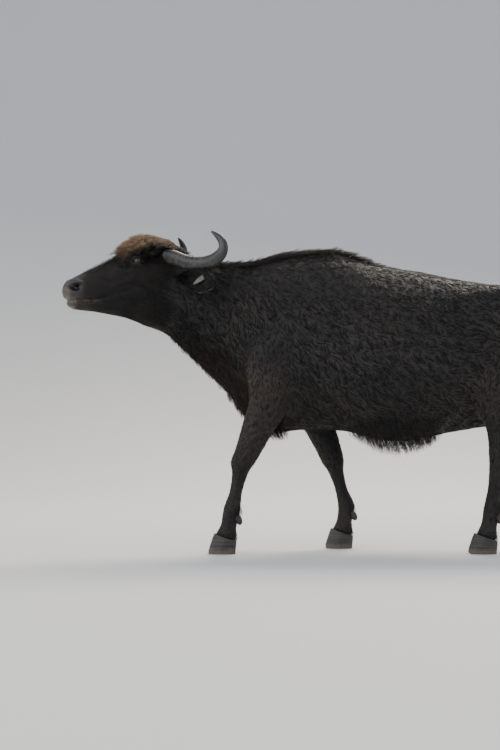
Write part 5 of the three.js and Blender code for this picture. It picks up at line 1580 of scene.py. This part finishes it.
def markings(finish):
    """Masks of the animal's markings and of painted light, each 1 inside and 0 outside."""
    ahead, aside, height = head_signals(finish)
    blotch = finish.noise(9, 3) - 0.5
    out = aside.size()
    tawny = (ahead + blotch * 60).step(-40, 65) * (ahead + out * 0.4 + blotch * 40).step(292, 250)
    tawny = tawny * (height - out * 0.8 + (ahead - 119).most(0.0) * 0.4 + blotch * 50).step(1262, 1318)
    # Brown over the lower chest and the front of the forelegs: partly a reddish tinge, partly a painted
    # sunlit rim.
    chest_tint_and_rim_light = (finish.x + blotch * 0.4).step(-0.12, -0.50) * (finish.z + blotch * 0.35).step(1.0, 0.66)
    chest_tint_and_rim_light = chest_tint_and_rim_light * (finish.z + blotch * 0.2).step(0.36, 0.66) * 0.8
    nose = (ahead - (height - 1150) * 0.14 + blotch * 26).step(416, 446) * height.step(1122, 1130)
    nose = nose.most((ahead + blotch * 30).step(438, 468))
    # Lips and chin: tan that is partly the skin's own colour and partly painted sunlight.
    lips = ahead.step(320, 380) * height.bell(1117, 15)
    chin = ahead.step(360, 430) * height.step(1112, 1098)
    feet = finish.z.step(0.25, 0.12) * (0.5 + blotch)
    # Brown along the crest: painted rim light where the sun caught the crest hair.
    ridge = (finish.y.size() + blotch * 0.06).step(0.085, 0.02) * (finish.z + blotch * 0.05).step(1.29, 1.335)
    ridge = ridge * (finish.x + blotch * 0.3).step(0.34, -0.04)
    spectacle = ahead.bell(188, 62) * height.bell(1290, 50) * out.step(55, 70)
    face = ahead.step(-40, 40)
    # Ears: a painted sheen that lightens the ear hair.
    ear = ahead.step(40, 10) * out.step(118, 150) * height.step(1120, 1150) * height.step(1300, 1270)
    return SimpleNamespace(
        tawny=tawny, face=face, ear=ear, chest_tint_and_rim_light=chest_tint_and_rim_light, nose=nose, lips=lips, chin=chin, feet=feet, ridge=ridge,
        eye=spectacle, ahead=ahead, aside=aside, height=height, blotch=blotch)


# %% [markdown]
# ## Skin
# Buffalo skin is slate black, creased into small plates, and shows between the tufts of hair. The nose is
# bare, wet and pebbled, and the shade inside its openings is painted black. Front, lips and chin of the
# muzzle carry tan that is partly the skin's own colour and partly painted sunlight. Creases are the borders
# of scattered cells, a little longer up and down.

# %% Skin finish
hide = Finish("hide", Roughness=0.5, Specular_IOR_Level=0.28)
marks = markings(hide)
patchy, fleck = hide.noise(5.0, 4), hide.noise(150, 3)
# The inside of each nostril is painted near black: painted shade in the deep openings.
painted_nostril_shade = ((marks.ahead - 462) / 28) ** 2 + ((marks.height - 1175) / 21) ** 2
painted_nostril_shade = painted_nostril_shade.step(1.1, 0.35) * marks.aside.size().step(18, 26)
colour = hide.paint(
    (0.010, 0.0095, 0.0098),
    ((0.024, 0.0195, 0.017), patchy.step(0.35, 0.7)),
    # Brown on the chest: partly a reddish tinge, partly a painted sunlit rim.
    ((0.040, 0.023, 0.015), marks.chest_tint_and_rim_light * 0.7),
    ((0.070, 0.046, 0.030), marks.tawny * 0.8),
    # Chin, muzzle front and lips are painted tan: partly the skin's own pinkish tan, partly painted sunlight
    # on wet skin.
    ((0.052, 0.040, 0.032), marks.chin * 0.6),
    ((0.034, 0.030, 0.030), marks.nose * (0.55 + 0.5 * patchy)),
    ((0.115, 0.082, 0.068), marks.ahead.step(474, 494) * fleck.step(0.3, 0.6) * 0.75),
    ((0.120, 0.084, 0.066), marks.lips * fleck.step(0.40, 0.60) * 0.7),
    ((0.004, 0.0035, 0.0035), painted_nostril_shade),
    ((0.010, 0.0088, 0.0088), marks.eye * 0.8),
)
plates = hide.cells(150, "DISTANCE_TO_EDGE", hide.stretched((1.0, 1.0, 0.75)))
crease = plates.step(0.0, 0.16)
pebbles = hide.cells(300)
wrinkle = hide.noise(1.0, 4, 0.6, hide.stretched((34, 34, 110)))
grain = hide.noise(420, 4)
on_nose, on_face = marks.nose, marks.face
face_at = hide.add("ShaderNodeCombineXYZ", {}, {
    0: marks.ahead * 0.05, 1: marks.aside * 0.45 + marks.blotch * 6, 2: marks.height * 0.45})
nap = hide.noise(1.0, 3, 0.6, face_at)
body_grain = crease * 0.5 + wrinkle * 0.9 + grain * 0.25
height_signal = body_grain * (1 - on_face) + nap * 0.9 * on_face
height_signal = height_signal * (1 - on_nose) + (1 - pebbles) * on_nose * 0.6
hide.bump((height_signal, 0.0012), (hide.noise(28, 2), 0.004))
wet = 0.58 - on_nose * 0.20 + (grain - 0.5) * 0.2 + (patchy - 0.5) * 0.15
hide.feed(Base_Color=colour, Roughness=wet.most(0.16))
wear(hide, skin)
print("skin finish has", len(hide.tree.nodes), "nodes")

# %% [markdown]
# ## Hair
# Wet buffalo hair is nearly black, browner and lighter towards the tip, and each tuft has a shade of its own.
# Its roots are darker, partly as painted shade deep in the coat. Over the brow it is tawny with dark roots,
# also partly painted shade. The gloss differs from tuft to tuft as the hair is wetter or drier.

# %% Hair finish
fur = Finish("hair", Roughness=0.45, Specular_IOR_Level=0.26)
marks = markings(fur)
along, shade = fur.attribute("along"), fur.attribute("shade")
drift = fur.noise(6.5, 4)
tone = shade * 0.7 + drift * 0.6 - 0.15
# Russet tips on chest and crest: painted rim light, over a reddish tinge on the chest.
russet_and_rim_light = fur.mix((0.050, 0.028, 0.018), (0.120, 0.070, 0.042), along * shade)
pale = (along * 0.55 + shade * 0.6 - 0.12).step(0.05, 1.0)
straw = fur.mix((0.115, 0.072, 0.042), (0.40, 0.275, 0.165), pale)
# Dark roots under the tawny: partly painted shade where the hairs cover each other.
straw = fur.mix((0.030, 0.020, 0.013), straw, (along + 0.25 * shade).step(0.0, 0.35))
# The lighter tone grows towards the tip: partly the hair's own paler tips, partly painted shade at the roots.
tip_tone_and_root_shade = 0.25 + 0.75 * along
colour = fur.paint(
    (0.0050, 0.0045, 0.0047),
    ((0.022, 0.0155, 0.0118), tone.step(0.15, 1.0) * tip_tone_and_root_shade),
    (russet_and_rim_light, marks.chest_tint_and_rim_light.most(marks.ridge) * tip_tone_and_root_shade * (0.3 + 0.7 * shade)),
    (straw, marks.tawny),
    # Paler chin hair: partly its own colour, partly painted sunlight.
    ((0.060, 0.046, 0.037), marks.chin * 0.7),
    ((0.030, 0.027, 0.025), marks.feet.most(marks.eye * 0.25)),
    # Lighter grey ear hair: painted sheen.
    ((0.034, 0.031, 0.033), marks.ear * (0.35 + 0.5 * shade)),
)
fur.bump((fur.noise(900, 2), 0.0004))
gloss = 0.40 + shade * 0.16 + (drift - 0.5) * 0.25 + marks.tawny * 0.16
fur.feed(Base_Color=colour, Roughness=gloss)
wear(fur, *coat)
print("hair finish has", len(fur.tree.nodes), "nodes")

# %% [markdown]
# ## Horn and hoof
# Horn is keratin that grew in fine fibres: charcoal, greyer where the rings are rubbed, polished towards
# the tip. Its grain follows the piece, so it reads an attribute that runs with the horn. Hooves are of the
# same stuff, with lines of growth round the wall, dust in them and a paler worn edge.

# %% Horn and hoof finishes
keratin = Finish("horn", Roughness=0.4, Specular_IOR_Level=0.5)
grain_at, length_at = keratin.attribute("grain", "Vector"), keratin.attribute("along")
fibre = keratin.noise(1.0, 5, 0.6, keratin.stretched((9, 9, 5), source=grain_at))
rings_at = keratin.noise(1.0, 3, 0.5, keratin.stretched((0.7, 0.7, 42), source=grain_at))
rubbed = (rings_at * 0.7 + fibre * 0.5).step(0.5, 0.78) * length_at.step(0.85, 0.3)
colour = keratin.paint(
    (0.0095, 0.0100, 0.0115),
    ((0.030, 0.029, 0.028), fibre.step(0.35, 0.7)),
    ((0.095, 0.088, 0.076), rubbed * 0.55),
)
keratin.bump((fibre, 0.0006), (rings_at, 0.0011))
keratin.feed(Base_Color=colour, Roughness=0.30 + rubbed * 0.25 + fibre * 0.12)

claw_wall = Finish("hoof", Roughness=0.55, Specular_IOR_Level=0.4)
bands = claw_wall.noise(1.0, 3, 0.5, claw_wall.stretched((7, 7, 330), (0, -0.18, 0)))
fibres = claw_wall.noise(1.0, 4, 0.6, claw_wall.stretched((380, 380, 22)))
dust = claw_wall.noise(60, 4) * 0.6 + claw_wall.z.step(0.05, 0.0) * 0.5
colour = claw_wall.paint(
    (0.016, 0.0150, 0.0145),
    ((0.052, 0.045, 0.038), (bands * 0.85 + fibres * 0.25).step(0.4, 0.75)),
    ((0.135, 0.108, 0.080), dust.step(0.42, 0.85) * 0.6),
)
claw_wall.bump((bands, 0.0009), (fibres, 0.0004), (claw_wall.noise(500, 2), 0.0002))
claw_wall.feed(Base_Color=colour, Roughness=0.42 + dust * 0.3)

wear(keratin, *horns)
wear(claw_wall, *hooves)

# %% [markdown]
# ## Eye and tag
# The iris is so dark a brown that the eye reads as one wet black ball, with a wide lying pupil and a little
# white in its corners. The tag is a blank plate of pale plastic, painted darker and greener than it is as
# painted shade, and dulled by mud and fine scratches.

# %% Eye and tag finishes
eye_finish = Finish("eye", Roughness=0.10, Specular_IOR_Level=0.4, Coat_Weight=0.5, Coat_Roughness=0.03)
iris_at = eye_finish.add("ShaderNodeUVMap", {"uv_map": "iris"}, {})
split = eye_finish.add("ShaderNodeSeparateXYZ", {}, {0: iris_at}).socket.node
u, v = (Signal(eye_finish, split.outputs[k]) - 0.5 for k in (0, 1))
wide_iris = ((u / 0.36) ** 2 + (v / 0.34) ** 2) ** 0.5
pupil = ((u / 0.19) ** 2 + (v / 0.085) ** 2) ** 0.5
rays = eye_finish.noise(1.0, 4, 0.6, eye_finish.stretched((34, 90, 1), source=iris_at))
white = eye_finish.mix((0.10, 0.078, 0.066), (0.060, 0.032, 0.027), rays.step(0.45, 0.65))
colour = eye_finish.paint(
    (0.024, 0.012, 0.006),
    ((0.060, 0.030, 0.013), rays.step(0.4, 0.7)),
    ((0.0025, 0.0025, 0.003), pupil.step(1.12, 0.9)),
    ((0.004, 0.0035, 0.0035), wide_iris.step(0.80, 0.98)),
    (white, wide_iris.step(1.12, 1.34)),
)
eye_finish.feed(Base_Color=colour)
wear(eye_finish, *eyes)

plastic = Finish("tag_plastic", Roughness=0.5, Specular_IOR_Level=0.4)
mud = plastic.noise(45, 5) * 0.7 + plastic.noise(260, 3) * 0.35
scratch = plastic.noise(1.0, 3, 0.5, plastic.stretched((900, 60, 90), (0.4, 0.2, 0.6)))
# The plate's base is painted grey-green: painted shade over pale plastic.
colour = plastic.paint(
    (0.120, 0.140, 0.118),
    ((0.090, 0.094, 0.076), mud.step(0.42, 0.62)),
    ((0.085, 0.066, 0.046), mud.step(0.56, 0.70) * 0.8),
    ((0.160, 0.160, 0.135), scratch.step(0.66, 0.72) * 0.5),
)
plastic.bump((scratch, 0.0002), (mud, 0.0004))
plastic.feed(Base_Color=colour, Roughness=0.42 + mud * 0.25)
wear(plastic, tag)

ground = Finish("floor", Roughness=0.7)
ground.feed(Base_Color=ground.mix((0.66, 0.655, 0.64), (0.70, 0.695, 0.68), ground.noise(1.2, 4)))

# %% [markdown]
# ## Floor and light
# The model stands on a plain pale floor that curves up behind it into a backdrop, so no horizon shows. A
# large soft light hangs high behind, where the sun stood, and gives the rim of light along back and horns.
# Three weaker ones fill the near side, the face and the rear.

# %% Stage
bend = np.linspace(0, np.pi / 2, 40)[1:]
depth = np.concatenate([np.linspace(-30, 4, 40), 4 + 12 * np.sin(bend), [16, 16]])
rise = np.concatenate([np.zeros(40), 12 - 12 * np.cos(bend), [18, 26]])
across_floor = np.linspace(-40, 40, 41)
sheet = np.stack(np.broadcast_arrays(across_floor, depth[:, None], rise[:, None]), -1)
floor = mesh_object("floor", sheet.reshape(-1, 3), grid_triangles(len(depth), 41, closed=False))
wear(ground, floor)


def soft_light(name, place_at, target, size, power, colour=(1, 1, 1)):
    """A square area light that looks at a place."""
    light = bpy.data.lights.new(name, "AREA")
    light.size, light.energy, light.color = size, power, colour
    lamp = bpy.data.objects.new(name, light)
    lamp.location = place_at
    lamp.rotation_euler = (Vector(target) - Vector(place_at)).to_track_quat("-Z", "Y").to_euler()
    bpy.context.collection.objects.link(lamp)


soft_light("sun_side", (1.8, 4.2, 6.5), (0, 0, 0.9), 4.0, 760, (1.0, 0.90, 0.76))
soft_light("fill_near", (-4.5, -7.5, 4.5), (0, 0, 0.8), 5.0, 330)
soft_light("fill_front", (-7.5, -1.0, 3.0), (0, 0, 0.8), 4.0, 200, (0.93, 0.97, 1.0))
soft_light("fill_rear", (7.5, -2.5, 3.5), (0, 0, 0.8), 4.0, 160)
world = bpy.data.worlds.new("studio")
bpy.context.scene.world = world
world.use_nodes = True
sky = world.node_tree.nodes["Background"].inputs
sky["Color"].default_value = (0.85, 0.9, 1.0, 1)
sky["Strength"].default_value = 0.75
